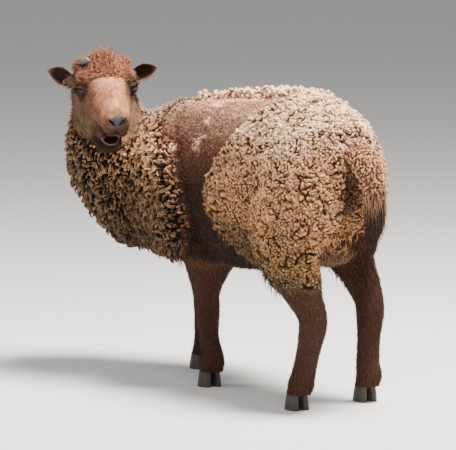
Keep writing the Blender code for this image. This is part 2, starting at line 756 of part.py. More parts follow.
def scur(side):
    """A stub of horn that never grew: a short cone, flattened and bent back."""
    aim = mirrored(SCUR_AIM, side)
    back = Vector((-1.0, 0.0, 0.15))
    across = aim.cross(back).normalized()
    flat = across.cross(aim)
    rings = []
    for t, size in ((0, 1.0), (0.35, 0.86), (0.7, 0.60), (0.9, 0.36), (1.0, 0.14)):
        centre = mirrored(SCUR_ROOT, side) + aim * (GAP + SCUR_LENGTH * t) + back * (0.010 * t * t)
        rings.append(ring(np.array(centre), across, flat, 0.0058 * size, 0.0076 * size, 10, 2.0))
    return loft(rings)


def claw(foot, outward):
    """Half of a cloven hoof, flat below, with the toe pointed and the cleft along its inner side."""
    rings = []
    for height, grow, toe in HOOF_RINGS:
        points = []
        for i in range(HOOF_SIDES):
            angle = i * 2 * math.pi / HOOF_SIDES
            length = HOOF_LENGTH * 0.5 * (toe if math.cos(angle) > 0 else 0.80 * grow)
            taper = 1 - 0.40 * max(0.0, math.cos(angle)) ** 2
            side = CLEFT + HOOF_WIDTH * 0.5 * grow * taper * (1 + math.sin(angle))
            x = foot.x + HOOF_FORWARD - math.cos(angle) * length
            points.append((x, foot.y + side * outward, HOOF_HEIGHT * height))
        rings.append(np.array(points))
    return loft(rings)


def grown(stations, by):
    return [(*row[:3], row[3] + by, row[4] + by) for row in stations]


def under_hooves():
    """The block of space below the tops of the hooves."""
    depth = 0.2
    return slab((0.1, 0.0, HOOF_HEIGHT + GAP - depth / 2), (0, 0, 1), (0.5, 0.5), depth)


def partings():
    slabs = [slab(*NECK_PARTING)]
    for name, place, (along, across), size in LEG_PARTINGS:
        normal = Vector((-along, -across, 1.0)).normalized()
        slabs.append(slab(place, normal, size))
    return slabs


def middle(mesh):
    points = points_of(mesh)
    return Vector((points.min(0) + points.max(0)) / 2)


def named_parts(body):
    """Names the largest loose parts by the place that each is nearest to."""
    places = [("torso", Vector((0.12, 0.0, 0.35))), ("neck", Vector((-0.24, -0.05, 0.35)))]
    places += [(name, Vector((place[0], place[1], 0.12))) for name, place, tilt, size in LEG_PARTINGS]
    found = []
    for mesh in loose_parts(body.data)[: len(places)]:
        centre = middle(mesh)
        name, place = min(places, key=lambda pair: (pair[1] - centre).length)
        places.remove((name, place))
        found.append((name, mesh))
    return found


def keep_largest(obj):
    obj.data = loose_parts(obj.data)[0]


def eyeball(side):
    return ball(mirrored(EYE_PLACE, side), (EYE_RADIUS,) * 3, segments=14, rings=8)


def finish(nodes, slots):
    """Gives each node its material and sets the whole over the origin."""
    low = np.min([points_of(node.data).min(0) for node in nodes.values()], axis=0)
    high = np.max([points_of(node.data).max(0) for node in nodes.values()], axis=0)
    shift = Matrix.Translation((-(low[0] + high[0]) / 2, -(low[1] + high[1]) / 2, -low[2]))
    print("moved by", shift.translation, "size", high - low)
    collection = make_collection("soay_ewe")
    for name, node in nodes.items():
        node.data.transform(shift)
        node.data.name = name
        node.data.materials.clear()
        node.data.materials.append(slots[next(slot for start, slot in SLOT_OF if name.startswith(start))])
        for holder in list(node.users_collection):
            holder.objects.unlink(node)
        collection.objects.link(node)
        node.data.calc_loop_triangles()
        print(name, len(node.data.loop_triangles))


def make_body():
    """The trunk, neck and legs: a core part of the way out to the tips, with the clumps on it."""
    body = blended("body", body_forms(), BODY_VOXEL, 12)
    skin, skin_normals = points_of(body.data), normals_of(body.data)
    swell = COAT_DEPTH + wool_depth(skin) * CORE_SHARE
    set_points(body.data, skin + skin_normals * swell[:, None])
    remeshed(body, BODY_VOXEL, 2)
    ruff, rump = wool_masks(points_of(body.data))
    thinned(body, BODY_TRIANGLES, 0.25 + 0.75 * np.maximum(ruff, rump))
    add_clumps(body, fleece_clumps(skin, skin_normals))
    return body


def make_head():
    """The head and the form that its socket in the neck is cut with, both in the head's frame."""
    head = blended("head", head_forms(), HEAD_VOXEL, 5)
    skin, skin_normals = points_of(head.data), normals_of(head.data)
    thinned(head, HEAD_TRIANGLES)
    add_clumps(head, topknot_curls(skin, skin_normals))
    socket = head.data.copy()
    set_points(socket, points_of(socket) + normals_of(socket) * HEAD_GAP)
    cut_away(head, head_cutters())
    keep_largest(head)
    return head, socket


def main():
    clear_scene()
    slots = {name: make_material(name, colour, rough) for name, colour, rough in MATERIALS}
    body = make_body()
    head, socket = make_head()
    for mesh in (head.data, socket):
        mesh.transform(head_matrix())
    cut_away(body, [socket], "MANIFOLD")
    cut_away(body, [limb(grown(TAIL, GAP), 2, TAIL_SIDES)])
    cut_away(body, [under_hooves()])
    cut_away(body, partings())
    nodes = {"head": head, "tail": make_object("tail", limb(TAIL, 2, TAIL_SIDES))}
    for name, mesh in named_parts(body):
        nodes[name] = make_object(name, mesh)
    bpy.data.objects.remove(body)
    for side, name in ((1, "left"), (-1, "right")):
        for kind, mesh in (("ear", ear(side)), ("scur", scur(side)), ("eye", eyeball(side))):
            mesh.transform(head_matrix())
            nodes[kind + "_" + name] = make_object(kind + "_" + name, mesh)
    for name, leg in zip(LEG_NAMES, (FORE_LEG_LEFT, FORE_LEG_RIGHT, HIND_LEG_LEFT, HIND_LEG_RIGHT)):
        for outward, side in ((1, "l"), (-1, "r")):
            whole = "claw_" + name + "_" + side
            nodes[whole] = make_object(whole, claw(Vector(leg[-2][:3]), outward))
    finish(nodes, slots)


main()
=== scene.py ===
# %% [markdown]
# A Soay ewe, half out of her old fleece, stands with her head turned back over her left side.
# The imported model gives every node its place. This file dresses it: one skin for all the
# flesh, a coat of solid tufts over that skin, eyes, scurs and hooves, then light and a camera.

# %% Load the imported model
import json
import math
import random

import bmesh
import bpy
import numpy as np
from mathutils import Matrix, Vector

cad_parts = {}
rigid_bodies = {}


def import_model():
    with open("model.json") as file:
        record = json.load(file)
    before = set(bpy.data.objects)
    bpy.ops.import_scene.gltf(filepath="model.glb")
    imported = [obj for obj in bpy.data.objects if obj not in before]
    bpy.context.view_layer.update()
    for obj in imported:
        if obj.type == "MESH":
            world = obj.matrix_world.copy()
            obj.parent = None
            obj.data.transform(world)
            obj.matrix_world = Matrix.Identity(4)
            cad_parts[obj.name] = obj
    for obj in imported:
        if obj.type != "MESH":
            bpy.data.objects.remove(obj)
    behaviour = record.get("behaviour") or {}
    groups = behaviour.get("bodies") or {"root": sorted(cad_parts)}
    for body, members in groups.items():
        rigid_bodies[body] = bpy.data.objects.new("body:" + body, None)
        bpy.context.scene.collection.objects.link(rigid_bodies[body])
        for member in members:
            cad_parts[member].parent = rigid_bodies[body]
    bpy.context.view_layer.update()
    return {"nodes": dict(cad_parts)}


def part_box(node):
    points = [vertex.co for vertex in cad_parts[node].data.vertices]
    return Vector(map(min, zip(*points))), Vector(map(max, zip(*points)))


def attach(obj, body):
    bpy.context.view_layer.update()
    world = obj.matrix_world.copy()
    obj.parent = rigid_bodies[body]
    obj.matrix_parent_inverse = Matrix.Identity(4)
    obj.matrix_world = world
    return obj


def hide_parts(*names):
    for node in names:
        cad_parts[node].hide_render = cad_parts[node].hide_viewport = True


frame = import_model()
print("nodes in the model:", len(frame["nodes"]))

# %% [markdown]
# The head has a frame of its own, because it is turned away from the body: x runs from
# between the eyes to the nose, y to her left and z up. Everything is first laid out round
# the middle of her body, and the place of the left eye in the model says how far the whole
# was moved to stand over the origin. Measuring that beats writing it down, because it holds
# when the box of the model changes.

# %% Where the head and the body stand
EYES_AT = Vector((-0.187, -0.132, 0.501))
HEAD_TURN = math.radians(-21.0)
NOSE_DOWN = math.radians(21.1)
HEAD_ROLL = math.radians(3.0)
EYE_PLACE = Vector((0.0, 0.0400, 0.0))
EYE_RADIUS = 0.0130


def head_matrix():
    turn = Matrix.Rotation(HEAD_TURN, 4, "Z") @ Matrix.Rotation(NOSE_DOWN, 4, "Y")
    return Matrix.Translation(EYES_AT) @ turn @ Matrix.Rotation(HEAD_ROLL, 4, "X")


eye_low, eye_high = (Vector(corner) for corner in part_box("eye_left"))
HOME = (eye_low + eye_high) / 2 - head_matrix() @ EYE_PLACE
print("the body was moved by", tuple(round(c, 4) for c in HOME))

# %% [markdown]
# A long lens far away flattens the animal as the photograph does. The camera looks at the
# middle of the body from behind the left shoulder, a little above the horizon.

# %% Camera
CAMERA_TURN = math.radians(58.0)
CAMERA_RISE = math.radians(6.4)
CAMERA_DISTANCE = 8.0
METRES_PER_PIXEL = 0.00172
PHOTO_WIDTH = 456
LOOK_AT = Vector((0.0, 0.0, 0.2715)) + HOME

towards_camera = Vector((
    math.sin(CAMERA_TURN) * math.cos(CAMERA_RISE),
    -math.cos(CAMERA_TURN) * math.cos(CAMERA_RISE),
    math.sin(CAMERA_RISE),
))
camera_data = bpy.data.cameras.new("camera")
camera_data.sensor_width = 36.0
camera_data.lens = 36.0 * CAMERA_DISTANCE / (METRES_PER_PIXEL * PHOTO_WIDTH)
camera = bpy.data.objects.new("camera", camera_data)
camera.location = LOOK_AT + towards_camera * CAMERA_DISTANCE
camera.rotation_euler = towards_camera.to_track_quat("Z", "Y").to_euler()
bpy.context.scene.collection.objects.link(camera)
bpy.context.scene.camera = camera
print("lens of", round(camera_data.lens), "mm")

# %% [markdown]
# Fur shows its form by the small shadows between tufts, so the light is large and soft but
# not the same from all sides. A strong warm lamp overhead makes the top of the fleece pale, as
# the sky does in the photograph. A weak one from the camera's left opens the face, another
# beside the camera lights the rump, and the world fills the rest.

# %% Floor and light


def principled(name, colour=(0.5, 0.5, 0.5), roughness=0.6):
    """A new material and its shader."""
    made = bpy.data.materials.new(name)
    made.use_nodes = True
    shader = made.node_tree.nodes["Principled BSDF"]
    shader.inputs["Base Color"].default_value = (*colour, 1.0)
    shader.inputs["Roughness"].default_value = roughness
    return made, shader


def add_lamp(name, place, target, size, power, colour):
    """A square soft lamp that faces the target."""
    data = bpy.data.lights.new(name, "AREA")
    data.size = size
    data.energy = power
    data.color = colour
    lamp = bpy.data.objects.new(name, data)
    lamp.location = place
    lamp.rotation_euler = (Vector(place) - Vector(target)).to_track_quat("Z", "Y").to_euler()
    bpy.context.scene.collection.objects.link(lamp)


FLOOR_REACH = 30.0
FLOOR_COLOUR = (0.74, 0.74, 0.72)
WORLD_COLOUR = (0.84, 0.85, 0.86, 1.0)
WORLD_STRENGTH = 0.46
LAMPS = (
    ("overhead", (0.5, 0.55, 2.7), (0.0, 0, 0.40), 1.1, 330, (1.0, 0.94, 0.86)),
    ("front", (-0.6, -2.6, 1.9), (-0.1, 0, 0.35), 1.6, 32, (1.0, 0.98, 0.96)),
    ("side", (2.4, -1.4, 2.2), (0.1, 0, 0.3), 1.6, 40, (1.0, 0.98, 0.95)),
)
floor_mesh = bpy.data.meshes.new("floor")
corners = [(-FLOOR_REACH, -FLOOR_REACH, 0), (FLOOR_REACH, -FLOOR_REACH, 0)]
corners += [(FLOOR_REACH, FLOOR_REACH, 0), (-FLOOR_REACH, FLOOR_REACH, 0)]
floor_mesh.from_pydata(corners, [], [(0, 1, 2, 3)])
floor = bpy.data.objects.new("floor", floor_mesh)
bpy.context.scene.collection.objects.link(floor)
floor_mesh.materials.append(principled("pale_floor", FLOOR_COLOUR, 0.9)[0])

for lamp in LAMPS:
    add_lamp(*lamp)
world = bpy.data.worlds.new("studio")
bpy.context.scene.world = world
world.use_nodes = True
world.node_tree.nodes["Background"].inputs["Color"].default_value = WORLD_COLOUR
world.node_tree.nodes["Background"].inputs["Strength"].default_value = WORLD_STRENGTH
print("lamps:", ", ".join(lamp[0] for lamp in LAMPS))

# %% [markdown]
# The flesh under the wool is round forms that run into each other: a barrel for the trunk,
# tapered limbs, and balls for muscles. Each form is a loft, a skin through rings, because a
# ring is given by its place, height and width, which is how an animal is measured. The
# stations below are the same as in the solid model.

# %% Stations of the body
TRUNK = (
    (0.390, 0.400, 0.350, 0.022, 0.0),
    (0.377, 0.433, 0.310, 0.050, -0.002),
    (0.345, 0.466, 0.275, 0.073, -0.003),
    (0.300, 0.489, 0.250, 0.085, -0.002),
    (0.240, 0.500, 0.234, 0.091, 0.0),
    (0.170, 0.498, 0.218, 0.100, 0.0),
    (0.100, 0.492, 0.208, 0.106, 0.0),
    (0.030, 0.487, 0.205, 0.103, 0.0),
    (-0.040, 0.481, 0.208, 0.094, 0.0),
    (-0.100, 0.474, 0.215, 0.084, 0.0),
    (-0.150, 0.458, 0.228, 0.070, 0.0),
    (-0.190, 0.425, 0.258, 0.050, -0.004),
    (-0.208, 0.380, 0.295, 0.022, -0.008),
)
NECK = (
    (-0.060, 0.000, 0.365, 0.074, 0.100),
    (-0.135, -0.006, 0.350, 0.072, 0.100),
    (-0.195, -0.024, 0.342, 0.066, 0.092),
    (-0.236, -0.050, 0.362, 0.059, 0.078),
    (-0.254, -0.076, 0.415, 0.043, 0.058),
    (-0.262, -0.094, 0.475, 0.043, 0.047),
    (-0.256, -0.100, 0.512, 0.034, 0.038),
)
FORE_LEG_LEFT = (
    (-0.060, -0.040, 0.400, 0.026, 0.036),
    (-0.040, -0.060, 0.340, 0.036, 0.056),
    (0.015, -0.068, 0.272, 0.037, 0.054),
    (0.030, -0.068, 0.215, 0.029, 0.038),
    (0.031, -0.064, 0.165, 0.0210, 0.0250),
    (0.031, -0.061, 0.128, 0.0200, 0.0220),
    (0.034, -0.059, 0.085, 0.0155, 0.0165),
    (0.044, -0.058, 0.047, 0.0185, 0.0200),
    (0.036, -0.057, 0.026, 0.0180, 0.0185),
    (0.032, -0.057, 0.010, 0.0190, 0.0195),
)
FORE_LEG_RIGHT = (
    (-0.080, 0.040, 0.400, 0.026, 0.036),
    (-0.090, 0.060, 0.340, 0.036, 0.056),
    (-0.095, 0.062, 0.272, 0.037, 0.054),
    (-0.112, 0.056, 0.215, 0.029, 0.038),
    (-0.132, 0.049, 0.165, 0.0210, 0.0250),
    (-0.146, 0.046, 0.128, 0.0200, 0.0220),
    (-0.152, 0.045, 0.085, 0.0155, 0.0165),
    (-0.148, 0.045, 0.047, 0.0185, 0.0200),
    (-0.157, 0.045, 0.026, 0.0180, 0.0185),
    (-0.161, 0.045, 0.010, 0.0190, 0.0195),
)
HIND_LEG_LEFT = (
    (0.310, -0.036, 0.430, 0.030, 0.050),
    (0.312, -0.058, 0.345, 0.042, 0.078),
    (0.306, -0.074, 0.280, 0.038, 0.064),
    (0.340, -0.082, 0.225, 0.029, 0.043),
    (0.383, -0.082, 0.178, 0.0210, 0.031),
    (0.393, -0.081, 0.150, 0.0205, 0.027),
    (0.375, -0.078, 0.105, 0.0180, 0.0195),
    (0.357, -0.076, 0.062, 0.0185, 0.0200),
    (0.349, -0.075, 0.046, 0.0200, 0.0220),
    (0.340, -0.075, 0.026, 0.0190, 0.0195),
    (0.336, -0.075, 0.010, 0.0190, 0.0195),
)
HIND_LEG_RIGHT = (
    (0.285, 0.034, 0.430, 0.030, 0.050),
    (0.276, 0.050, 0.345, 0.042, 0.076),
    (0.262, 0.066, 0.280, 0.036, 0.060),
    (0.279, 0.078, 0.225, 0.027, 0.038),
    (0.314, 0.080, 0.178, 0.0205, 0.030),
    (0.322, 0.079, 0.150, 0.0205, 0.0265),
    (0.321, 0.077, 0.105, 0.0180, 0.0195),
    (0.322, 0.075, 0.062, 0.0185, 0.0200),
    (0.326, 0.075, 0.046, 0.0200, 0.0220),
    (0.318, 0.075, 0.026, 0.0190, 0.0195),
    (0.314, 0.075, 0.010, 0.0190, 0.0195),
)
TAIL = (
    (0.372, 0.000, 0.432, 0.017, 0.014),
    (0.404, 0.002, 0.426, 0.017, 0.015),
    (0.428, 0.006, 0.397, 0.0155, 0.014),
    (0.434, 0.010, 0.350, 0.0145, 0.013),
    (0.431, 0.011, 0.305, 0.012, 0.011),
    (0.427, 0.012, 0.272, 0.008, 0.007),
    (0.425, 0.012, 0.258, 0.003, 0.003),
)
LEGS = (FORE_LEG_LEFT, FORE_LEG_RIGHT, HIND_LEG_LEFT, HIND_LEG_RIGHT)

# %% [markdown]
# A few stations give a whole limb, because a smooth curve is drawn through them and a ring is
# set at each step of it. On the trunk the rings stand upright, which keeps the back and belly
# lines as they were measured. On a limb they turn with its line, so that a bend stays round.

# %% Lofts and balls
STEPS_BETWEEN = 4
BALL_SEGMENTS, BALL_RINGS = 32, 20


def curve_through(rows, steps):
    """A smooth curve through rows of numbers, so that place and sizes change together."""
    rows = np.array(rows, float)
    ends = np.vstack([2 * rows[0] - rows[1], rows, 2 * rows[-1] - rows[-2]])
    found = []
    for before, start, end, after in zip(ends, ends[1:], ends[2:], ends[3:]):
        for t in np.arange(steps) / steps:
            found.append(
                start
                + 0.5 * t * (end - before)
                + t * t * (before - 2.5 * start + 2 * end - 0.5 * after)
                + 0.5 * t**3 * (after - before + 3 * (start - end))
            )
    return np.array(found + [rows[-1]])


def ring(centre, side, up, half_width, half_depth, sides=32, squareness=2.3, egg=0.0):
    """Points round one station: a rounded square section, wider below where egg is positive."""
    angle = np.arange(sides) * 2 * math.pi / sides
    across = np.sign(np.cos(angle)) * np.abs(np.cos(angle)) ** (2 / squareness)
    above = np.sign(np.sin(angle)) * np.abs(np.sin(angle)) ** (2 / squareness)
    across = across * (1 - egg * above)
    return centre + np.outer(across * half_width, side) + np.outer(above * half_depth, up)


def loft(rings, closed=False):
    """A mesh through rings of as many points each, joined into a loop or with flat ends."""
    made = bmesh.new()
    rows = [[made.verts.new(point) for point in points] for points in rings]
    for lower, upper in zip(rows, rows[1:] + (rows[:1] if closed else [])):
        for i in range(len(lower)):
            j = (i + 1) % len(lower)
            made.faces.new((lower[i], lower[j], upper[j], upper[i]))
    if not closed:
        made.faces.new(rows[0])
        made.faces.new(rows[-1])
    bmesh.ops.recalc_face_normals(made, faces=made.faces)
    mesh = bpy.data.meshes.new("loft")
    made.to_mesh(mesh)
    made.free()
    return mesh


def barrel(stations, egg=0.0):
    """A loft whose stations stand upright along x: x, top, bottom, half width, sideways."""
    rings = []
    for x, top, bottom, half_width, sideways in curve_through(stations, STEPS_BETWEEN):
        centre = np.array((x, sideways, (top + bottom) / 2))
        rings.append(ring(centre, (0, 1, 0), (0, 0, 1), half_width, (top - bottom) / 2, egg=egg))
    return loft(rings)


def limb(stations):
    """A loft whose stations turn with the line through their centres."""
    rows = curve_through(stations, STEPS_BETWEEN)
    tangents = np.gradient(rows[:, :3], axis=0)
    rings = []
    for row, tangent in zip(rows, tangents):
        along = tangent / np.linalg.norm(tangent)
        fore = np.cross((0.0, 1.0, 0.0), along)
        fore = fore / np.linalg.norm(fore)
        across = np.cross(along, fore)
        rings.append(ring(row[:3], across, fore, row[3], row[4], squareness=2.1))
    return loft(rings)


def ball(place, radii, turn=None):
    """A ball stretched along its own axes, then turned and moved."""
    made = bmesh.new()
    bmesh.ops.create_uvsphere(made, u_segments=BALL_SEGMENTS, v_segments=BALL_RINGS, radius=1.0)
    turn = turn or Matrix.Identity(4)
    shape = Matrix.Translation(place) @ turn @ Matrix.Diagonal((*radii, 1.0))
    bmesh.ops.transform(made, matrix=shape, verts=made.verts)
    mesh = bpy.data.meshes.new("ball")
    made.to_mesh(mesh)
    made.free()
    return mesh


def joined(meshes, matrix=None):
    """One mesh that holds several, moved by the matrix."""
    made = bmesh.new()
    for mesh in meshes:
        made.from_mesh(mesh)
    bmesh.ops.transform(made, matrix=matrix or Matrix.Identity(4), verts=made.verts)
    mesh = bpy.data.meshes.new("joined")
    made.to_mesh(mesh)
    made.free()
    return mesh


# %% [markdown]
# A voxel remesh turns overlapping forms into one closed surface. It leaves small steps,
# which a few passes of smoothing take out. Each pass shrinks and then swells by as much, so
# thin legs keep their thickness, which plain smoothing would eat away.

# %% Remesh, smooth and Boolean
SHRINK, SWELL = 0.6, -0.61


def make_object(name, mesh):
    made = bpy.data.objects.new(name, mesh)
    bpy.context.scene.collection.objects.link(made)
    return made


def triangles_in(mesh):
    return sum(len(face.vertices) - 2 for face in mesh.polygons)


def evaluated_mesh(obj):
    graph = bpy.context.evaluated_depsgraph_get()
    return bpy.data.meshes.new_from_object(
        obj.evaluated_get(graph), preserve_all_data_layers=True, depsgraph=graph
    )


def apply_modifiers(obj):
    mesh = evaluated_mesh(obj)
    obj.modifiers.clear()
    obj.data = mesh


def points_of(mesh):
    points = np.empty(len(mesh.vertices) * 3)
    mesh.vertices.foreach_get("co", points)
    return points.reshape(-1, 3)


def normals_of(mesh):
    normals = np.empty(len(mesh.vertices) * 3)
    mesh.vertex_normals.foreach_get("vector", normals)
    return normals.reshape(-1, 3)


def set_points(mesh, points):
    mesh.vertices.foreach_set("co", np.ascontiguousarray(points).ravel())
    mesh.update()


def relaxed(mesh, rounds):
    """Moves each point towards the mean of its neighbours, and then back by a little more."""
    points = points_of(mesh)
    count = len(points)
    edges = np.empty(len(mesh.edges) * 2, int)
    mesh.edges.foreach_get("vertices", edges)
    a, b = edges.reshape(-1, 2).T
    valence = np.bincount(a, minlength=count) + np.bincount(b, minlength=count)
    for turn in range(2 * rounds):
        mean = np.empty_like(points)
        for axis in range(3):
            mean[:, axis] = np.bincount(a, points[b, axis], count)
            mean[:, axis] += np.bincount(b, points[a, axis], count)
        mean /= valence[:, None]
        points = points + (SHRINK if turn % 2 == 0 else SWELL) * (mean - points)
    set_points(mesh, points)


def blended(meshes, voxel, rounds):
    """One smooth closed surface round overlapping forms."""
    obj = make_object("blend", joined(meshes))
    remesh = obj.modifiers.new("skin", "REMESH")
    remesh.mode = "VOXEL"
    remesh.voxel_size = voxel
    apply_modifiers(obj)
    relaxed(obj.data, rounds)
    mesh = obj.data
    bpy.data.objects.remove(obj)
    return mesh


def combined(mesh, others, operation):
    """The mesh after one Boolean with each of the others."""
    obj = make_object("base", mesh)
    helpers = bpy.data.collections.new("helpers")
    for other in others:
        helpers.objects.link(bpy.data.objects.new("helper", other))
    step = obj.modifiers.new("step", "BOOLEAN")
    step.operation = operation
    step.solver = "MANIFOLD"
    step.operand_type = "COLLECTION"
    step.collection = helpers
    apply_modifiers(obj)
    for helper in list(helpers.objects):
        bpy.data.objects.remove(helper)
    bpy.data.collections.remove(helpers)
    result = obj.data
    bpy.data.objects.remove(obj)
    return result


# %% [markdown]
# Half of the old fleece is gone. It stays on the neck as a ruff and on the rump and belly,
# and its edges run down behind the shoulder. These edges are lines of x against height, and
# a smooth step across each gives a mask from 0 to 1. The inside of the thighs and a narrow gap
# beside the tail are bare. The same masks later steer the wool's depth, the colours and where
# each kind of tuft grows, so skin and coat always agree.

# %% Where the old fleece stays
RUFF_DEPTH = 0.046
RUMP_DEPTH = 0.023
TAIL_DEPTH = 0.006
SKIN_SHARE = 0.72
EDGE_HEIGHTS = (0.16, 0.21, 0.25, 0.315, 0.36, 0.42, 0.48, 0.52)
RUFF_EDGE = (-0.03, 0.014, 0.056, 0.046, 0.012, -0.040, -0.120, -0.18)
FLEECE_EDGE_LEFT = (0.200, 0.188, 0.170, 0.122, 0.112, 0.155, 0.200, 0.260)
FLEECE_EDGE_RIGHT = (0.150, 0.130, 0.110, 0.080, 0.050, -0.120, -0.260, -0.280)
WOOL_FLOOR_PLACES = (-0.25, 0.0, 0.15, 0.25, 0.32, 0.42)
WOOL_FLOOR = (0.222, 0.232, 0.196, 0.200, 0.206, 0.214)
HIND_PART = (0.235, 0.25)


def smooth_step(value, start, end):
    t = np.clip((value - start) / (end - start), 0.0, 1.0)
    return t * t * (3 - 2 * t)


def past_edge(x, z, edge):
    """How far behind an edge of the fleece a place lies."""
    return x - np.interp(z, EDGE_HEIGHTS, edge)


def above_floor(x, z):
    """1 above the line where the wool ends on legs and belly, 0 below it."""
    floor_line = np.interp(x, WOOL_FLOOR_PLACES, WOOL_FLOOR)
    return smooth_step(z, floor_line - 0.016, floor_line + 0.010)


def bare_hind_part(x, y, z):
    """1 where the hind part has no wool: between the thighs, on the far one, by the tail."""
    between = (1 - smooth_step(np.abs(y), 0.055, 0.068)) * (1 - smooth_step(z, 0.250, 0.268))
    between = between * smooth_step(x, *HIND_PART)
    far = smooth_step(y, 0.0, 0.02) * (1 - smooth_step(y, 0.118, 0.132))
    far = far * smooth_step(x, *HIND_PART)
    bare = np.maximum(between, far * (1 - smooth_step(z, 0.285, 0.305)))
    by_tail = smooth_step(x, 0.390, 0.398) * (1 - smooth_step(np.abs(y + 0.004), 0.018, 0.027))
    return np.maximum(bare, by_tail * (1 - smooth_step(z, 0.385, 0.405)))


def wool_masks(points):
    """How far each point lies in the ruff and in the rump fleece, from 0 to 1."""
    x, y, z = points.T
    ruff_edge = np.interp(z, EDGE_HEIGHTS, RUFF_EDGE)
    ruff = 1 - smooth_step(x, ruff_edge - 0.012, ruff_edge + 0.006)
    left = np.interp(z, EDGE_HEIGHTS, FLEECE_EDGE_LEFT)
    right = np.interp(z, EDGE_HEIGHTS, FLEECE_EDGE_RIGHT)
    edge = left + (right - left) * smooth_step(y, -0.005, 0.02)
    rump = smooth_step(x, edge - 0.006, edge + 0.010)
    above = above_floor(x, z)
    return ruff * above, rump * above * (1 - bare_hind_part(x, y, z))


def wool_depth(points):
    """How far the tips of the wool stand off the flesh."""
    x, y, z = points.T
    ruff, rump = wool_masks(points)
    tail = smooth_step(x, 0.360, 0.375) * (1 - smooth_step(np.abs(y - 0.006), 0.018, 0.034))
    top = smooth_step(z, 0.43, 0.47)
    throat = smooth_step(z, 0.36, 0.45)
    low = 1 - smooth_step(z, 0.24, 0.34)
    ruff_depth = RUFF_DEPTH * (1 - 0.45 * top) * (1 - 0.45 * throat) * (1 - 0.30 * low)
    thigh = 1 - smooth_step(z, 0.195, 0.310)
    crest = smooth_step(z, 0.46, 0.49) * (1 - smooth_step(x, -0.10, 0.02))
    groin = smooth_step(x, 0.25, 0.27) * (1 - smooth_step(z, 0.26, 0.28))
    groin = groin * (1 - smooth_step(np.abs(y), 0.03, 0.045))
    rump_depth = RUMP_DEPTH * (1 - 0.70 * thigh) * (1 - 0.5 * crest) * (1 - 0.6 * groin)
    rump_depth = rump_depth + (TAIL_DEPTH - rump_depth) * tail
    return ruff * ruff_depth + rump * rump_depth * (1 - ruff)


# %% [markdown]
# The body's skin swells where wool stands on it, up to where the wool is too dense to see
# into. The tufts then only have to fill the outer part, so far fewer of them look thick.

# %% Skin of the body
BODY_VOXEL = 0.0045
BREAST = ((-0.205, -0.042, 0.312), (0.054, 0.054, 0.062))
GROIN = ((0.312, 0.0, 0.258), (0.046, 0.036, 0.024))

body_meshes = [barrel(TRUNK, egg=0.06), limb(NECK), limb(TAIL)] + [limb(leg) for leg in LEGS]
body_meshes += [ball(*BREAST), ball(*GROIN)]
body_skin = blended(body_meshes, BODY_VOXEL, 14)
flesh = points_of(body_skin)
swell = wool_depth(flesh) * SKIN_SHARE
set_points(body_skin, flesh + normals_of(body_skin) * swell[:, None])
print("body skin:", len(body_skin.vertices), "points")

# %% [markdown]
# The head gets a much finer surface than the body. Skull and lower jaw are two lofts, and
# balls build what stands out from them: cheeks, brows, the roll of muscle over the mouth,
# the nose, the lips, the stalks of the ears and the buds that the scurs sit on.

# %% Stations of the head
SKULL = (
    (-0.090, 0.010, -0.030, 0.022, 0.0),
    (-0.078, 0.026, -0.042, 0.038, 0.0),
    (-0.052, 0.037, -0.052, 0.045, 0.0),
    (-0.020, 0.039, -0.055, 0.046, 0.0),
    (0.005, 0.035, -0.054, 0.045, 0.0),
    (0.030, 0.029, -0.052, 0.0420, -0.002),
    (0.060, 0.022, -0.046, 0.0365, -0.002),
    (0.088, 0.016, -0.037, 0.0300, -0.001),
    (0.108, 0.010, -0.029, 0.0260, 0.0),
    (0.119, 0.004, -0.025, 0.0205, 0.0),
    (0.125, -0.004, -0.018, 0.0110, 0.0),
)
LOWER_JAW = (
    (-0.064, -0.024, -0.078, 0.026, 0.0),
    (-0.048, -0.012, -0.092, 0.039, -0.001),
    (-0.018, -0.010, -0.095, 0.044, -0.003),
    (0.015, -0.014, -0.089, 0.042, -0.005),
    (0.045, -0.024, -0.079, 0.0345, -0.008),
    (0.072, -0.042, -0.076, 0.0260, -0.010),
    (0.092, -0.056, -0.077, 0.0225, -0.009),
    (0.104, -0.061, -0.075, 0.0180, -0.009),
    (0.110, -0.063, -0.071, 0.0080, -0.009),
)
EAR_ROOT = Vector((-0.052, 0.056, -0.004))
EAR_AIM = {
    1: Vector((-0.18, 0.96, 0.16)).normalized(),
    -1: Vector((-0.60, -0.78, 0.14)).normalized(),
}
SCUR_ROOT = Vector((-0.032, 0.028, 0.042))
SCUR_AIM = Vector((0.05, 0.80, -0.60)).normalized()
LID = 0.0026


def mirrored(place, side):
    return Vector((place[0], place[1] * side, place[2]))


def head_forms():
    forms = [barrel(SKULL, egg=0.16), barrel(LOWER_JAW)]
    for side in (1, -1):
        forms.append(ball((-0.020, 0.027 * side - 0.001, -0.048), (0.038, 0.021, 0.038)))
        forms.append(ball(mirrored(EYE_PLACE, side), (EYE_RADIUS + LID,) * 3))
        forms.append(ball((-0.010, 0.034 * side, 0.015), (0.022, 0.012, 0.010)))
        forms.append(ball((-0.045, 0.036 * side, 0.006), (0.024, 0.014, 0.026)))
        forms.append(ball((0.068, 0.019 * side - 0.004, -0.044), (0.028, 0.012, 0.013)))
        forms.append(ball((0.113, 0.0115 * side, -0.004), (0.012, 0.0095, 0.010)))
        forms.append(ball((0.107, 0.010 * side, -0.023), (0.014, 0.014, 0.010)))
        forms.append(ball(mirrored(EAR_ROOT, side) - EAR_AIM[side] * 0.012, (0.013, 0.017, 0.014)))
        forms.append(ball(mirrored(SCUR_ROOT - SCUR_AIM * 0.006, side), (0.0078,) * 3))
    return forms


# %% [markdown]
# Lids, nostrils and the mouth have crisp edges that a remesh would round off, so they are
# cut into the finished surface with Booleans, and thin rolled rims are added the same way.
# Each eye has its own frame too, in which z looks out between the lids.

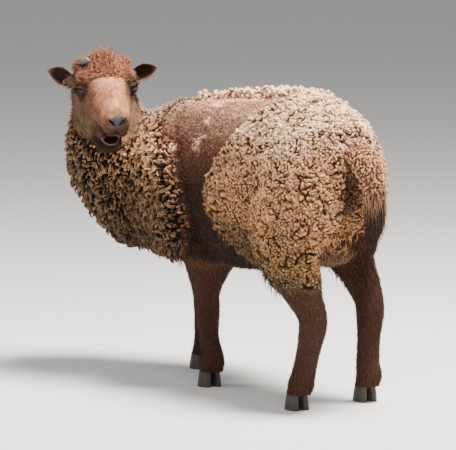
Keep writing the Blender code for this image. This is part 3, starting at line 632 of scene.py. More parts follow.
# %% Eyes, nostrils and mouth as cutters
EYE_TURN = math.radians(37)
EYE_LIFT = math.radians(12)
EYE_SLIT = (0.0116, 0.0056)
MOUTH_PLACE = Vector((0.103, -0.004, -0.0535))
MOUTH_SIZE = (0.024, 0.0185, 0.0064)
MOUTH_TOP_SHARE = 0.70
NOSTRIL_PLACE = Vector((0.1225, 0.0095, -0.0055))
CLEAR = 0.0003


def eye_frame(side):
    look = Matrix.Rotation(side * EYE_TURN, 4, "Z") @ Matrix.Rotation(-EYE_LIFT, 4, "Y")
    ahead = Matrix(((0, 0, 1, 0), (1, 0, 0, 0), (0, 1, 0, 0), (0, 0, 0, 1)))
    return Matrix.Translation(mirrored(EYE_PLACE, side)) @ look @ ahead


def slit_points(count, size=1.0):
    """The outline of the gap between the lids, flatter below than above."""
    points = []
    for i in range(count):
        angle = i * 2 * math.pi / count
        height = EYE_SLIT[1] * math.sin(angle) * (0.62 + 0.38 * abs(math.sin(angle)))
        height *= 0.62 if height > 0 else 0.84
        points.append((EYE_SLIT[0] * math.cos(angle) * size, height * size + 0.0012))
    return points


def almond(side):
    rings = []
    for z, size in ((0.004, 0.80), (0.010, 0.96), (0.022, 1.25)):
        rings.append(np.array([(x, y, z) for x, y in slit_points(40, size)]))
    return joined([loft(rings)], eye_frame(side))


def tube(points, radii, sides=10, closed=False):
    """A tube along points in space, closed into a loop or with its ends shut."""
    points = np.array(points, float)
    if closed:
        tangents = np.roll(points, -1, 0) - np.roll(points, 1, 0)
    else:
        tangents = np.gradient(points, axis=0)
    rings = []
    guide = np.array((0.13, 0.27, 0.95))
    for place, tangent, radius in zip(points, tangents, radii):
        along = tangent / np.linalg.norm(tangent)
        side = np.cross(along, guide)
        side = side / np.linalg.norm(side)
        rings.append(ring(place, side, np.cross(along, side), radius, radius, sides, 2.0))
    return loft(rings, closed)


def on_eye(x, y, radius):
    """A place on a sphere round the eye, straight above a point of the slit."""
    return (x, y, math.sqrt(max(radius * radius - x * x - y * y, 1e-8)))


def lid_rim(side):
    """The rolled edge of both lids, thicker above."""
    outline = slit_points(48, 1.04)
    places = [on_eye(x, y, EYE_RADIUS + 0.0016) for x, y in outline]
    radii = [0.0021 if y > 0 else 0.0012 for x, y in outline]
    return joined([tube(places, radii, closed=True)], eye_frame(side))


def lid_fold(side, height, reach, radius):
    """A fold of skin that follows a lid at some distance."""
    places, radii = [], []
    for i in range(21):
        t = i / 20
        x = (2 * t - 1) * reach
        y = height * math.sin(math.pi * (0.12 + 0.76 * t))
        places.append(on_eye(x, y, EYE_RADIUS + LID + 0.0004))
        radii.append(radius * (0.35 + 0.65 * math.sin(math.pi * t)))
    return joined([tube(places, radii)], eye_frame(side))


def nostril(side):
    lean = Matrix.Rotation(side * math.radians(-46), 4, "X") @ Matrix.Rotation(side * 0.5, 4, "Z")
    return ball(mirrored(NOSTRIL_PLACE, side), (0.0115, 0.0022, 0.0090), lean)


def mouth():
    """The hollow of the open mouth, flatter above than below."""
    made = ball((0, 0, 0), MOUTH_SIZE)
    points = points_of(made)
    points[:, 2] *= np.where(points[:, 2] > 0, MOUTH_TOP_SHARE, 1.0)
    set_points(made, points + np.array(MOUTH_PLACE))
    return made


# %% [markdown]
# An ear is a leaf with a cup on its front. It is lofted across its width, with a front and a
# back face that lie a few millimetres apart, and then fused with its stalk.

# %% Ears
EAR_LENGTH = 0.044
EAR_HALF_WIDTH = 0.0160
EAR_WALL = 0.0026
EAR_CUP = 0.015
EAR_RINGS = (
    (-0.16, 0.62, 0.80),
    (0.00, 0.80, 0.95),
    (0.20, 0.95, 0.95),
    (0.45, 0.98, 0.75),
    (0.70, 0.72, 0.50),
    (0.88, 0.40, 0.25),
    (1.00, 0.10, 0.05),
)


def ear(side):
    aim = EAR_AIM[side]
    front = Vector((1.0, -0.12 * side, 0.10))
    front = (front - aim * front.dot(aim)).normalized()
    across = aim.cross(front)
    root = mirrored(EAR_ROOT, side)
    rings = []
    for t, width, cup in curve_through(EAR_RINGS, 5):
        centre = root + aim * (EAR_LENGTH * t) - front * (0.004 * math.sin(3 * t))
        outward = [(u, -1) for u in np.linspace(-1, 1, 21)]
        back = [(u, 1) for u in np.linspace(0.95, -0.95, 20)]
        points = []
        for u, face in outward + back:
            depth = EAR_CUP * cup * (u * u - 0.5) + face * EAR_WALL * 0.5 * (1.15 - u * u)
            points.append(centre + across * (EAR_HALF_WIDTH * width * u) + front * depth)
        rings.append(np.array(points))
    return loft(rings)


# %% [markdown]
# A sheep's face has hollows before the eyes, brows over them and a groove for tears. They are
# too shallow for forms of their own, so the finished surface is pushed in or out round a few
# places: middle, reach along each axis, and how far.

# %% Skin of the head
FACE_RELIEF = (
    ((0.042, 0.035, 0.002), (0.022, 0.013, 0.013), -0.0042),
    ((0.024, 0.037, -0.008), (0.014, 0.008, 0.004), -0.0022),
    ((0.006, 0.046, -0.021), (0.014, 0.012, 0.005), 0.0020),
    ((-0.004, 0.040, 0.018), (0.018, 0.011, 0.006), 0.0035),
    ((0.046, 0.0, 0.028), (0.034, 0.010, 0.010), 0.0018),
    ((0.070, 0.036, -0.034), (0.022, 0.012, 0.014), -0.0035),
    ((0.122, 0.0, -0.030), (0.008, 0.0022, 0.010), -0.0016),
    ((0.116, 0.014, -0.002), (0.009, 0.006, 0.006), 0.0016),
    ((0.108, 0.016, -0.033), (0.012, 0.008, 0.006), 0.0022),
    ((-0.046, 0.0, 0.040), (0.030, 0.030, 0.020), 0.0060),
    ((-0.005, 0.0, 0.036), (0.016, 0.040, 0.012), 0.0020),
)
HEAD_VOXEL = 0.0018
FACE_HAIR = 0.0008

head_skin = blended(head_forms(), HEAD_VOXEL, 8)
face_points, face_normals = points_of(head_skin), normals_of(head_skin)
moved = np.full(len(face_points), -FACE_HAIR)
for middle, radii, amount in FACE_RELIEF:
    for side in (1, -1) if middle[1] else (1,):
        reach = (((face_points - np.array(mirrored(middle, side))) / np.array(radii)) ** 2).sum(1)
        moved += amount * np.exp(-1.5 * reach)
set_points(head_skin, face_points + face_normals * moved[:, None])
rims = [lid_rim(side) for side in (1, -1)]
rims += [lid_fold(side, 0.0125, 0.0100, 0.0016) for side in (1, -1)]
rims += [lid_fold(side, -0.0105, 0.0095, 0.0010) for side in (1, -1)]
cutters = [mouth()]
for side in (1, -1):
    socket = ball(mirrored(EYE_PLACE, side), (EYE_RADIUS + CLEAR,) * 3)
    cutters += [socket, almond(side), nostril(side)]
head_skin = combined(head_skin, [ear(1), ear(-1)], "UNION")
head_skin = combined(head_skin, rims, "UNION")
head_skin = combined(head_skin, cutters, "DIFFERENCE")
head_skin.transform(head_matrix())
print("head skin:", len(head_skin.vertices), "points")

# %% [markdown]
# Head and body are fused by one Boolean, so that the skin is one closed surface. The seam
# lies deep in the ruff. Only the largest surface is kept, because the cutters can leave
# crumbs inside. A block takes away the feet, where the claws of the solid model stay.

# %% One skin
HOOF_TOP = 0.027
FEET_BLOCK = (1.2, 1.2, 0.2)


def largest_surface(mesh):
    whole = bmesh.new()
    whole.from_mesh(mesh)
    whole.verts.ensure_lookup_table()
    group = [-1] * len(whole.verts)
    sizes = []
    for first in whole.verts:
        if group[first.index] >= 0:
            continue
        group[first.index] = len(sizes)
        front, size = [first], 1
        while front:
            for edge in front.pop().link_edges:
                for vert in edge.verts:
                    if group[vert.index] < 0:
                        group[vert.index] = len(sizes)
                        front.append(vert)
                        size += 1
        sizes.append(size)
    best = sizes.index(max(sizes))
    extra = [vert for vert in whole.verts if group[vert.index] != best]
    bmesh.ops.delete(whole, geom=extra, context="VERTS")
    bmesh.ops.triangulate(whole, faces=[face for face in whole.faces if len(face.verts) > 4])
    whole.to_mesh(mesh)
    whole.free()
    return mesh


under_hooves = bmesh.new()
bmesh.ops.create_cube(under_hooves, size=1.0)
to_feet = Matrix.Translation((0.1, 0, HOOF_TOP - CLEAR - FEET_BLOCK[2] / 2))
to_feet = to_feet @ Matrix.Diagonal((*FEET_BLOCK, 1))
bmesh.ops.transform(under_hooves, matrix=to_feet, verts=under_hooves.verts)
below = bpy.data.meshes.new("below")
under_hooves.to_mesh(below)
under_hooves.free()

skin_mesh = combined(body_skin, [head_skin], "UNION")
skin_mesh = combined(skin_mesh, [below], "DIFFERENCE")
skin_mesh = largest_surface(skin_mesh)
skin_mesh.name = "skin"
skin_mesh.shade_smooth()
print("skin:", triangles_in(skin_mesh), "triangles")

# %% [markdown]
# Colour is worked out from the place on the body, and kept as an attribute of the skin and of
# the mesh that the tufts grow from. Skin and coat then carry the same markings. Places are
# given in the frame that suits them: the head's for the face, the body's for the rest.

# %% Masks of the parts of the coat
HEAD_PLACES = (-0.09, -0.05, 0.0, 0.03, 0.06, 0.09)
HEAD_HALF_WIDTHS = (0.046, 0.057, 0.059, 0.053, 0.047, 0.041)
BEHIND_EAR_REACH = (0.050, 0.034, 0.046)
LEFTOVERS = (
    ((0.052, -0.075, 0.461), 0.011), ((0.056, -0.090, 0.440), 0.010),
    ((0.046, -0.099, 0.423), 0.015), ((0.030, -0.045, 0.475), 0.012),
    ((0.022, -0.030, 0.482), 0.012), ((0.030, -0.014, 0.488), 0.013),
    ((0.055, -0.008, 0.490), 0.014), ((0.080, -0.006, 0.491), 0.014),
    ((0.105, -0.004, 0.493), 0.014),
)
SWIRL = ((-0.038, -0.092, 0.398), 0.015)
to_head = np.array(head_matrix().inverted())


def blob(points, place, radii, soft=0.5):
    """A mask that is 1 inside an ellipsoid and fades to 0 outside it."""
    away = np.sqrt((((points - np.array(place)) / np.array(radii)) ** 2).sum(1))
    return 1 - smooth_step(away, 1 - soft, 1 + soft)


def ripple(points, length, seed, waves=9):
    """Soft noise from -1 to 1 whose bumps are about the length across."""
    source = np.random.default_rng(seed)
    total = np.zeros(len(points))
    for _ in range(waves):
        way = source.normal(size=3)
        way *= 2 * math.pi / length * source.uniform(0.5, 1.3) / np.linalg.norm(way)
        total += np.sin(points @ way + source.uniform(0, 2 * math.pi))
    return np.clip(total / math.sqrt(waves) / 1.2, -1, 1)


def ear_masks(head_points, head_normals):
    """The ears, their cups and their rims."""
    masks = [np.zeros(len(head_points)) for _ in range(3)]
    for side in (1, -1):
        aim = np.array(EAR_AIM[side])
        front = np.array((1.0, -0.12 * side, 0.10))
        front = front - aim * front.dot(aim)
        front = front / np.linalg.norm(front)
        offset = head_points - np.array(mirrored(EAR_ROOT, side))
        along, out = offset @ aim, offset @ front
        wide = offset @ np.cross(aim, front)
        near = (along < 0.06) & (np.abs(wide) < 0.026) & (np.abs(out) < 0.03)
        leaf = near * smooth_step(along, -0.002, 0.006)
        half = EAR_HALF_WIDTH * np.interp(along / EAR_LENGTH, *np.array(EAR_RINGS)[:, :2].T)
        edge = np.maximum(np.abs(wide) / np.maximum(half, 1e-4), along / (EAR_LENGTH * 1.03))
        facing = smooth_step(head_normals @ front, 0.0, 0.3)
        cup = leaf * facing * (1 - smooth_step(edge, 0.70, 0.92))
        rim = leaf * smooth_step(edge, 0.80, 0.98)
        masks = [np.maximum(old, new) for old, new in zip(masks, (leaf, cup, rim))]
    return masks


def behind_ear(side):
    return (-0.062, 0.058 * side, -0.016)


def survey(mesh):
    """Places and masks of the parts of the coat at every point of a mesh."""
    m = {"body": points_of(mesh), "normal": normals_of(mesh)}
    m["head"] = m["body"] @ to_head[:3, :3].T + to_head[:3, 3]
    m["head_normal"] = m["normal"] @ to_head[:3, :3].T
    x, y, z = m["body"].T
    hx, hy, hz = m["head"].T
    half_width = np.interp(hx, HEAD_PLACES, HEAD_HALF_WIDTHS)
    box = (np.abs(hy) < half_width) & (hz > -0.12) & (hz < 0.08) & (hx < 0.15)
    jaw_line = np.interp(hx, [row[0] for row in LOWER_JAW], [row[2] for row in LOWER_JAW])
    throat = smooth_step(hz - jaw_line, -0.010, -0.002)
    m["on_head"] = box * smooth_step(hx, -0.076, -0.062) * throat
    m["ears"], m["cups"], m["rims"] = ear_masks(m["head"], m["head_normal"])
    m["on_head"] = np.maximum(m["on_head"], m["ears"])
    bare = 1 - m["on_head"]
    ruff, rump = (smooth_step(mask, 0.20, 0.55) for mask in wool_masks(m["body"]))
    for side in (1, -1):
        by_ear = blob(m["head"], mirrored(EAR_ROOT, side), (0.050 - 0.008 * side,) * 3, 0.2)
        ruff = ruff * (1 - by_ear)
        ruff = ruff * (1 - blob(m["head"], behind_ear(side), BEHIND_EAR_REACH, 0.2))
    m["swirl"] = blob(m["body"], SWIRL[0], (SWIRL[1],) * 3, 0.15)
    m["leftover"] = m["swirl"].copy()
    for place, radius in LEFTOVERS:
        m["leftover"] = np.maximum(m["leftover"], blob(m["body"], place, (radius,) * 3, 0.2))
    tail = smooth_step(x, 0.396, 0.408) * (np.abs(y - 0.008) < 0.034)
    heights = [row[2] for row in TAIL[::-1]]
    tail_x, tail_y = (np.interp(z, heights, [row[i] for row in TAIL[::-1]]) for i in (0, 1))
    off_tail = np.hypot(x - tail_x, y - tail_y)
    tail = np.where(z < 0.395, 1 - smooth_step(off_tail, 0.020, 0.024), tail) * (z > 0.235)
    m["tail"] = tail * bare
    m["ruff"] = ruff * bare
    m["ruff_colour"] = smooth_step(wool_masks(m["body"])[0], 0.5, 0.9) * bare
    m["felted"] = blob(m["body"], (0.30, -0.11, 0.345), (0.085, 0.06, 0.085), 0.5) * rump * bare
    m["rump"] = rump * bare * (1 - ruff) * (1 - tail)
    m["legs"] = bare * (1 - tail) * (1 - above_floor(x, z))
    wool = np.maximum(ruff, rump)
    m["saddle"] = bare * (1 - wool) * (1 - m["legs"]) * (1 - tail)
    knot = smooth_step(hz, 0.012, 0.020) * (1 - smooth_step(hx + 0.35 * np.abs(hy), 0.018, 0.026))
    m["topknot"] = m["on_head"] * (1 - m["ears"]) * knot * (np.abs(hy) < 0.049)
    m["face"] = m["on_head"] * (1 - m["ears"]) * (1 - m["topknot"])
    half_pad = 0.0150 * np.clip((hz + 0.028) / 0.022, 0.10, 1.0)
    half_pad = half_pad * (1 - 0.35 * smooth_step(hz, -0.006, 0.003))
    m["nose"] = m["face"] * smooth_step(hx, 0.107, 0.110) * (np.abs(hy) < half_pad)
    m["nose"] = m["nose"] * (hz > -0.027) * (hz < 0.003)
    off = (m["head"] - np.array(MOUTH_PLACE)) / np.array(MOUTH_SIZE)
    off[:, 2] /= np.where(off[:, 2] > 0, MOUTH_TOP_SHARE, 1.0)
    away = np.sqrt((off**2).sum(1))
    m["mouth"] = m["face"] * (1 - smooth_step(away, 1.02, 1.06))
    m["lip"] = m["face"] * smooth_step(away, 1.02, 1.06) * (1 - smooth_step(away, 1.12, 1.28))
    return m


# %% [markdown]
# The photograph is read for colour in broad patches: cream where the sky lights the rump, tan down
# the thigh, a darker yellow low on the belly, red brown on the new coat of the saddle. The values
# are what the eye sees in daylight, so some light and shade are painted into them. Soft noise
# breaks up each patch.

# %% Colour of every point


def linear(red, green, blue):
    """A colour as the eye sees it, from 0 to 255, in the linear values that light adds up in."""
    seen = np.array((red, green, blue)) / 255
    return ((seen + 0.055) / 1.055) ** 2.4


CREAM = linear(244, 208, 176)
PALE_TAN = linear(216, 166, 124)
TAN = linear(202, 148, 104)
DARK_YELLOW = linear(158, 118, 76)
OLIVE = linear(98, 78, 50)
RUFF_TAN = linear(212, 164, 118)
RUFF_DARK = linear(114, 84, 55)
RUFF_GREY = linear(116, 93, 72)
SADDLE_BROWN = linear(146, 96, 72)
SADDLE_PALE = linear(216, 166, 140)
LEG_BROWN = linear(71, 42, 28)
BREECHES = linear(188, 146, 108)
TAIL_ORANGE = linear(196, 146, 108)
TAIL_BROWN = linear(62, 40, 31)
GROIN_FAWN = linear(170, 132, 100)
CHEEK = linear(136, 103, 80)
ROSY = linear(236, 166, 126)
EYE_SHADE = linear(66, 47, 40)
TEAR_DARK = linear(52, 38, 34)
MUZZLE = linear(74, 53, 46)
NOSE_GREY = linear(62, 51, 55)
MOUTH_SHADED_RED = linear(58, 24, 20)
LIP_PINK = linear(166, 130, 120)
KNOT_BROWN = linear(156, 98, 71)
EAR_DARK = linear(52, 32, 25)
EAR_BACK = linear(104, 72, 54)
EAR_RIM_LIGHT = linear(160, 118, 104)
FACE_TAN = linear(156, 104, 76)
CHIN_SHADE = linear(54, 39, 32)
GROOVE_SHADOW = linear(30, 22, 22)
LEFTOVER_CREAM = linear(222, 178, 150)
TAIL_GAP_SHADOW = linear(40, 27, 20)
RUMP_STOPS = (
    (0.20, OLIVE), (0.25, DARK_YELLOW * 0.9), (0.31, TAN * 0.84), (0.41, PALE_TAN * 0.80),
    (0.475, CREAM),
)
RUFF_STOPS = (
    (0.20, OLIVE * 0.6), (0.29, RUFF_DARK * 0.85), (0.35, RUFF_DARK * 1.25), (0.40, RUFF_TAN),
    (0.44, PALE_TAN),
)
SADDLE_STOPS = (
    (0.24, LEG_BROWN * 0.4), (0.33, LEG_BROWN * 0.85), (0.43, SADDLE_BROWN * 0.66),
    (0.475, SADDLE_PALE * 0.55),
)
LEG_STOPS = ((0.02, LEG_BROWN * 0.9), (0.20, LEG_BROWN), (0.27, LEG_BROWN * 1.3))
TAIL_STOPS = (
    (0.25, TAIL_BROWN), (0.345, TAIL_BROWN), (0.385, TAIL_ORANGE * 0.8), (0.42, TAIL_ORANGE),
    (0.45, PALE_TAN),
)


def over(colour, mask, top):
    """The colour with another laid over it as far as the mask says."""
    return colour + (np.array(top) - colour) * np.clip(mask, 0, 1)[:, None]


def ramp(height, stops):
    """The colour at each height, between stops of height and colour."""
    heights, colours = zip(*stops)
    colours = np.array(colours)
    return np.stack([np.interp(height, heights, colours[:, i]) for i in range(3)], axis=1)


def face_colours(m):
    hx, hy, hz = m["head"].T
    up = m["head_normal"][:, 2]
    colour = np.tile(CHEEK, (len(hx), 1))
    # The lower jaw is painted darker towards its underside: painted shade under the head.
    colour = over(colour, 0.5 * smooth_step(hz, -0.045, -0.085), OLIVE)
    front = smooth_step(up, 0.05, 0.55) * (1 - smooth_step(np.abs(hy), 0.021, 0.034))
    front = front * smooth_step(hx, -0.030, -0.015) * (1 - smooth_step(hx, 0.100, 0.112))
    colour = over(colour, 0.95 * front, ROSY)
    colour = over(colour, 0.55 * smooth_step(hx, 0.015, 0.055) * (hz > -0.03), FACE_TAN)
    mottle = 1 + 0.24 * ripple(m["head"], 0.014, 8)
    mottle = mottle + 0.20 * ripple(m["head"], 0.006, 9)
    colour = colour * mottle[:, None]
    for side in (1, -1):
        eye = mirrored(EYE_PLACE, side)
        colour = over(colour, 0.9 * blob(m["head"], eye, (0.027, 0.022, 0.023), 0.3), EYE_SHADE)
        temple = (-0.030, 0.040 * side, 0.012)
        colour = over(colour, 0.8 * blob(m["head"], temple, (0.022, 0.016, 0.020), 0.4), EYE_SHADE)
        for t in np.linspace(0, 1, 6):
            tear = (0.014 + 0.030 * t, (0.036 - 0.004 * t) * side, -0.003 - 0.018 * t)
            streak = blob(m["head"], tear, (0.009, 0.008, 0.0045), 0.4)
            colour = over(colour, 0.75 * streak, TEAR_DARK)
    lips = blob(m["head"], (0.098, -0.003, -0.047), (0.040, 0.046, 0.030), 0.35)
    colour = over(colour, 0.9 * lips, MUZZLE)
    snout = blob(m["head"], (0.120, 0.0, -0.014), (0.012, 0.024, 0.018), 0.35)
    colour = over(colour, 0.7 * snout, MUZZLE)
    # The chin is painted dark: painted shade under the muzzle.
    chin = smooth_step(hx, 0.060, 0.078) * (1 - smooth_step(hz, -0.056, -0.046))
    colour = over(colour, 0.95 * chin, CHIN_SHADE)
    colour = over(colour, m["nose"], NOSE_GREY)
    # A painted shadow down the groove of the upper lip.
    groove = (np.abs(hy + 0.002) < 0.0013) * smooth_step(hx, 0.104, 0.108)
    groove = groove * smooth_step(-hz, 0.024, 0.028) * smooth_step(hz, -0.048, -0.044)
    colour = over(colour, groove, GROOVE_SHADOW)
    colour = over(colour, m["lip"] * smooth_step(-hz, 0.046, 0.050), LIP_PINK)
    # The inside of the open mouth is painted a very dark red: its own red with painted shade in
    # the hollow.
    return over(colour, m["mouth"], MOUTH_SHADED_RED)


def rump_colours(m, height):
    x, y, z = m["body"].T
    colour = ramp(height, RUMP_STOPS)
    # Painted shade under the belly: the wool on the low near side is made much darker.
    belly = blob(m["body"], (0.16, -0.08, 0.230), (0.12, 0.10, 0.080))
    colour = over(colour, 0.95 * belly, OLIVE * 0.32)
    # Painted shade on the lower front edge of the rump fleece on the near side.
    front_edge = 1 - smooth_step(past_edge(x, z, FLEECE_EDGE_LEFT), 0.01, 0.07)
    front_edge_shade = 0.55 * front_edge * (y < 0) * (1 - smooth_step(z, 0.39, 0.44))
    colour = over(colour, front_edge_shade, DARK_YELLOW * 0.6)
    groin = blob(m["body"], (0.312, 0.0, 0.250), (0.07, 0.05, 0.035))
    colour = over(colour, 0.75 * groin, GROIN_FAWN)
    far_thigh = blob(m["body"], (0.36, 0.09, 0.27), (0.07, 0.06, 0.14))
    return over(colour, 0.8 * far_thigh, BREECHES)


def ruff_colours(m, height):
    x, _, z = m["body"].T
    colour = ramp(height, RUFF_STOPS)
    colour = over(colour, 0.9 * smooth_step(z, 0.435, 0.455), CREAM * 0.9)
    breast = 0.75 * smooth_step(-x, 0.14, 0.25) * (1 - smooth_step(z, 0.40, 0.46))
    return over(colour, breast, RUFF_GREY)


def saddle_colours(m, height):
    # Where the crest of the back faces up it is painted pale: a painted highlight of the light
    # from above.
    crest = smooth_step(m["body"][:, 2], 0.458, 0.480) * smooth_step(m["normal"][:, 2], 0.3, 0.8)
    return over(ramp(height, SADDLE_STOPS), 0.85 * crest, SADDLE_PALE)


def markings(m):
    """The colour of the coat at every point, as a lamp would see it."""
    x, y, z = m["body"].T
    broad = ripple(m["body"], 0.10, 3)
    fine = ripple(m["body"], 0.030, 4)
    height = z + 0.020 * broad
    parts = {
        "saddle": saddle_colours(m, height),
        "legs": ramp(z, LEG_STOPS),
        "rump": rump_colours(m, height),
        "ruff_colour": ruff_colours(m, height),
        "tail": ramp(height, TAIL_STOPS),
    }
    colour = np.tile(SADDLE_BROWN, (len(x), 1))
    for name, part in parts.items():
        colour = over(colour, m[name], part)
    for side in (1, -1):
        mask = blob(m["head"], behind_ear(side), BEHIND_EAR_REACH, 0.3)
        colour = over(colour, 0.9 * mask, CHEEK * 0.6)
    colour = over(colour, m["leftover"], LEFTOVER_CREAM)
    far_thigh = smooth_step(y, 0.0, 0.03) * smooth_step(x, *HIND_PART)
    far_thigh = far_thigh * (1 - smooth_step(z, 0.29, 0.32)) * (1 - m["rump"])
    colour = over(colour, far_thigh * (1 - m["tail"]), LEG_BROWN)
    groin = blob(m["body"], (0.300, 0.0, 0.245), (0.055, 0.045, 0.030)) * (1 - m["rump"])
    colour = over(colour, 0.8 * groin, GROIN_FAWN)
    colour = over(colour, m["face"], face_colours(m))
    colour = over(colour, m["topknot"], KNOT_BROWN)
    colour = over(colour, m["ears"], EAR_BACK)
    colour = over(colour, m["cups"], EAR_DARK)
    # The rims of the ears are painted pale: painted rim light on their edges.
    colour = over(colour, 0.8 * m["rims"], EAR_RIM_LIGHT)
    # A painted shadow in the narrow bare gap between the tail and the near thigh.
    gap = blob(m["body"], (0.406, -0.009, 0.335), (0.020, 0.022, 0.085), 0.5)
    colour = over(colour, 0.9 * (gap * (1 - m["tail"])), TAIL_GAP_SHADOW)
    return colour * (1 + 0.10 * fine + 0.08 * broad)[:, None]


# %% [markdown]
# Hair lies along the body: back and down on the trunk, down on the legs, from the nose
# backwards on the face, from root to tip on the ears. The direction is laid into the surface
# at each point.

# %% Which way the coat lies
LIES = (("legs", (0.12, 0.0, -1.0)), ("tail", (0.10, 0.0, -1.0)), ("ruff", (0.10, -0.05, -1.0)))


def lie_of(m):
    x, y, z = m["body"].T
    count = len(x)
    back_and_down = np.tile((0.55, 0.0, -0.80), (count, 1))
    top = smooth_step(m["normal"][:, 2], 0.55, 0.95)[:, None]
    lie = back_and_down * (1 - top) + np.array((1.0, 0.0, -0.1)) * top
    for name, way in LIES:
        lie = lie + (np.array(way) - lie) * m[name][:, None]
    turn = np.array(head_matrix().to_3x3())
    outwards = 1.2 * m["head"][:, 1] / 0.04
    on_face = np.stack([np.full(count, -0.9), outwards, np.full(count, -0.15)], 1) @ turn.T
    lie = lie + (on_face - lie) * np.clip(m["on_head"], 0, 1)[:, None]
    for side in (1, -1):
        aim = np.array(head_matrix().to_3x3() @ EAR_AIM[side])
        mine = m["ears"] * (m["head"][:, 1] * side > 0)
        lie = lie + (aim - lie) * mine[:, None]
    lie = lie - m["normal"] * (lie * m["normal"]).sum(1)[:, None]
    return lie / np.maximum(np.linalg.norm(lie, axis=1), 1e-6)[:, None]


def store(mesh, name, values, kind="FLOAT"):
    """Keep one value, vector or colour for each point of the mesh."""
    field = {"FLOAT": "value", "FLOAT_VECTOR": "vector", "FLOAT_COLOR": "color"}[kind]
    values = np.asarray(values, float)
    if kind == "FLOAT_COLOR":
        values = np.hstack([values, np.ones((len(values), 1))])
    made = mesh.attributes.new(name, kind, "POINT")
    made.data.foreach_set(field, np.ascontiguousarray(values).ravel())


skin_map = survey(skin_mesh)
under_wool = skin_map["ruff"] + skin_map["rump"] + skin_map["topknot"] + 0.6 * skin_map["tail"]
wet_skin = skin_map["mouth"] + 0.5 * skin_map["lip"] + 0.7 * skin_map["nose"]
store(skin_mesh, "coat", markings(skin_map), "FLOAT_COLOR")
store(skin_mesh, "under_wool", np.clip(under_wool, 0, 1))
store(skin_mesh, "matted", np.clip(skin_map["rump"] + skin_map["leftover"], 0, 1))
store(skin_mesh, "wet", np.clip(wet_skin, 0, 1))
for name in ("ruff", "rump", "saddle", "legs", "tail", "topknot", "face", "ears"):
    print(name, "takes", round(float(skin_map[name].mean()), 3), "of the skin's points")

# %% [markdown]
# Helpers for materials. A node is made with its inputs in one call, which keeps the tree of a
# material as short to read as a sum.

# %% Helpers for node trees


def add_node(tree, kind, settings=None, **inputs):
    """A node with its settings and inputs; an input may be another node's output.

    An input is given by its name, or as i0, i1 and so on by its place."""
    node = tree.nodes.new(kind)
    for name, value in (settings or {}).items():
        setattr(node, name, value)
    for name, value in inputs.items():
        by_place = name[0] == "i" and name[1:].isdigit()
        socket = node.inputs[int(name[1:]) if by_place else name.replace("_", " ")]
        if isinstance(value, bpy.types.NodeSocket):
            tree.links.new(value, socket)
        else:
            socket.default_value = value
    return node


def attribute(tree, name, output="Fac"):
    return add_node(tree, "ShaderNodeAttribute", {"attribute_name": name}).outputs[output]


def mixed(tree, factor, first, second, blend="MIX"):
    """The colour between two others, or their product with blend MULTIPLY."""
    settings = {"data_type": "RGBA", "blend_type": blend}
    return add_node(tree, "ShaderNodeMix", settings, i0=factor, i6=first, i7=second).outputs[2]


def maths(tree, operation, *values):
    inputs = {f"i{i}": value for i, value in enumerate(values)}
    return add_node(tree, "ShaderNodeMath", {"operation": operation}, **inputs).outputs[0]


def vector_maths(tree, operation, first, second):
    settings = {"operation": operation}
    return add_node(tree, "ShaderNodeVectorMath", settings, i0=first, i1=second).outputs[0]


def scaled(tree, vector, scale):
    settings = {"operation": "SCALE"}
    return add_node(tree, "ShaderNodeVectorMath", settings, i0=vector, Scale=scale).outputs[0]


def ranged(tree, value, low, high, to_low, to_high):
    """The value moved from the range low to high into another, and kept inside it."""
    ends = {"i1": low, "i2": high, "i3": to_low, "i4": to_high}
    return add_node(tree, "ShaderNodeMapRange", None, i0=value, **ends).outputs[0]


def noise(tree, place, scale, detail, **more):
    """Soft noise; its outputs are a value and a colour."""
    inputs = {"Vector": place, "Scale": scale, "Detail": detail, **more}
    return add_node(tree, "ShaderNodeTexNoise", None, **inputs).outputs


def grey(tree, value):
    inputs = {"Red": value, "Green": value, "Blue": value}
    return add_node(tree, "ShaderNodeCombineColor", None, **inputs).outputs[0]


def object_place(tree):
    return add_node(tree, "ShaderNodeTexCoord").outputs["Object"]


def bumped(tree, height, strength, distance, **more):
    inputs = {"Height": height, "Strength": strength, "Distance": distance, **more}
    return add_node(tree, "ShaderNodeBump", None, **inputs).outputs[0]


# %% [markdown]
# Old fleece parts into clumps with dark cracks between, which run more across than up. The clumps
# are the cells of a Voronoi texture, bent by noise, and more noise closes the cracks here and
# there. Skin and coat ask the same question of it, so the tufts leave the cracks free and the skin
# is painted dark in them as their shadow.

# %% Cracks in the fleece
CLUMP_SIZE = 0.030
CLUMP_FLATNESS = (1.0, 1.0, 1.5)
CRACK_BEND = 0.014
CRACK_CLOSED = 0.005


def crack_distance(tree, place):
    """How far a place is from the nearest crack, in metres."""
    flat = vector_maths(tree, "MULTIPLY", place, CLUMP_FLATNESS)
    bend = scaled(tree, noise(tree, place, 45.0, 1.0)[1], CRACK_BEND)
    moved = vector_maths(tree, "ADD", flat, bend)
    cells = add_node(
        tree, "ShaderNodeTexVoronoi", {"feature": "DISTANCE_TO_EDGE"},
        Vector=moved, Scale=1 / CLUMP_SIZE,
    )
    away = maths(tree, "MULTIPLY", cells.outputs["Distance"], CLUMP_SIZE)
    closed = ranged(tree, noise(tree, place, 38.0, 1.0)[0], 0.50, 0.62, 0.0, CRACK_CLOSED)
    return maths(tree, "ADD", away, closed)


# %% [markdown]
# The skin is seen on the face and between tufts. Short hair is drawn on it as fine streaky bumps.
# Under wool it is darkened, because little light reaches the foot of the wool: that is painted
# shade. Where the old fleece has matted it carries low felted heads, with painted shade low
# between them, and it is darkest in the cracks, where the dark is painted shadow, so that a gap
# between two tufts shows more of the mat. Nose, lips and mouth are wet.

# %% Material of the skin
HEAD_OF_FELT = 0.0056
FELT_BEND = 0.006
# The low felt colour is painted shade between the felted heads, and the crack colour is painted
# shadow in the cracks.
FELT_SHADE, FELT_HIGH = (0.16, 0.12, 0.09, 1.0), (0.95, 0.90, 0.84, 1.0)
WOOL_FOOT = (0.10, 0.07, 0.05, 1.0)
CRACK_SHADOW = (0.04, 0.028, 0.02, 1.0)

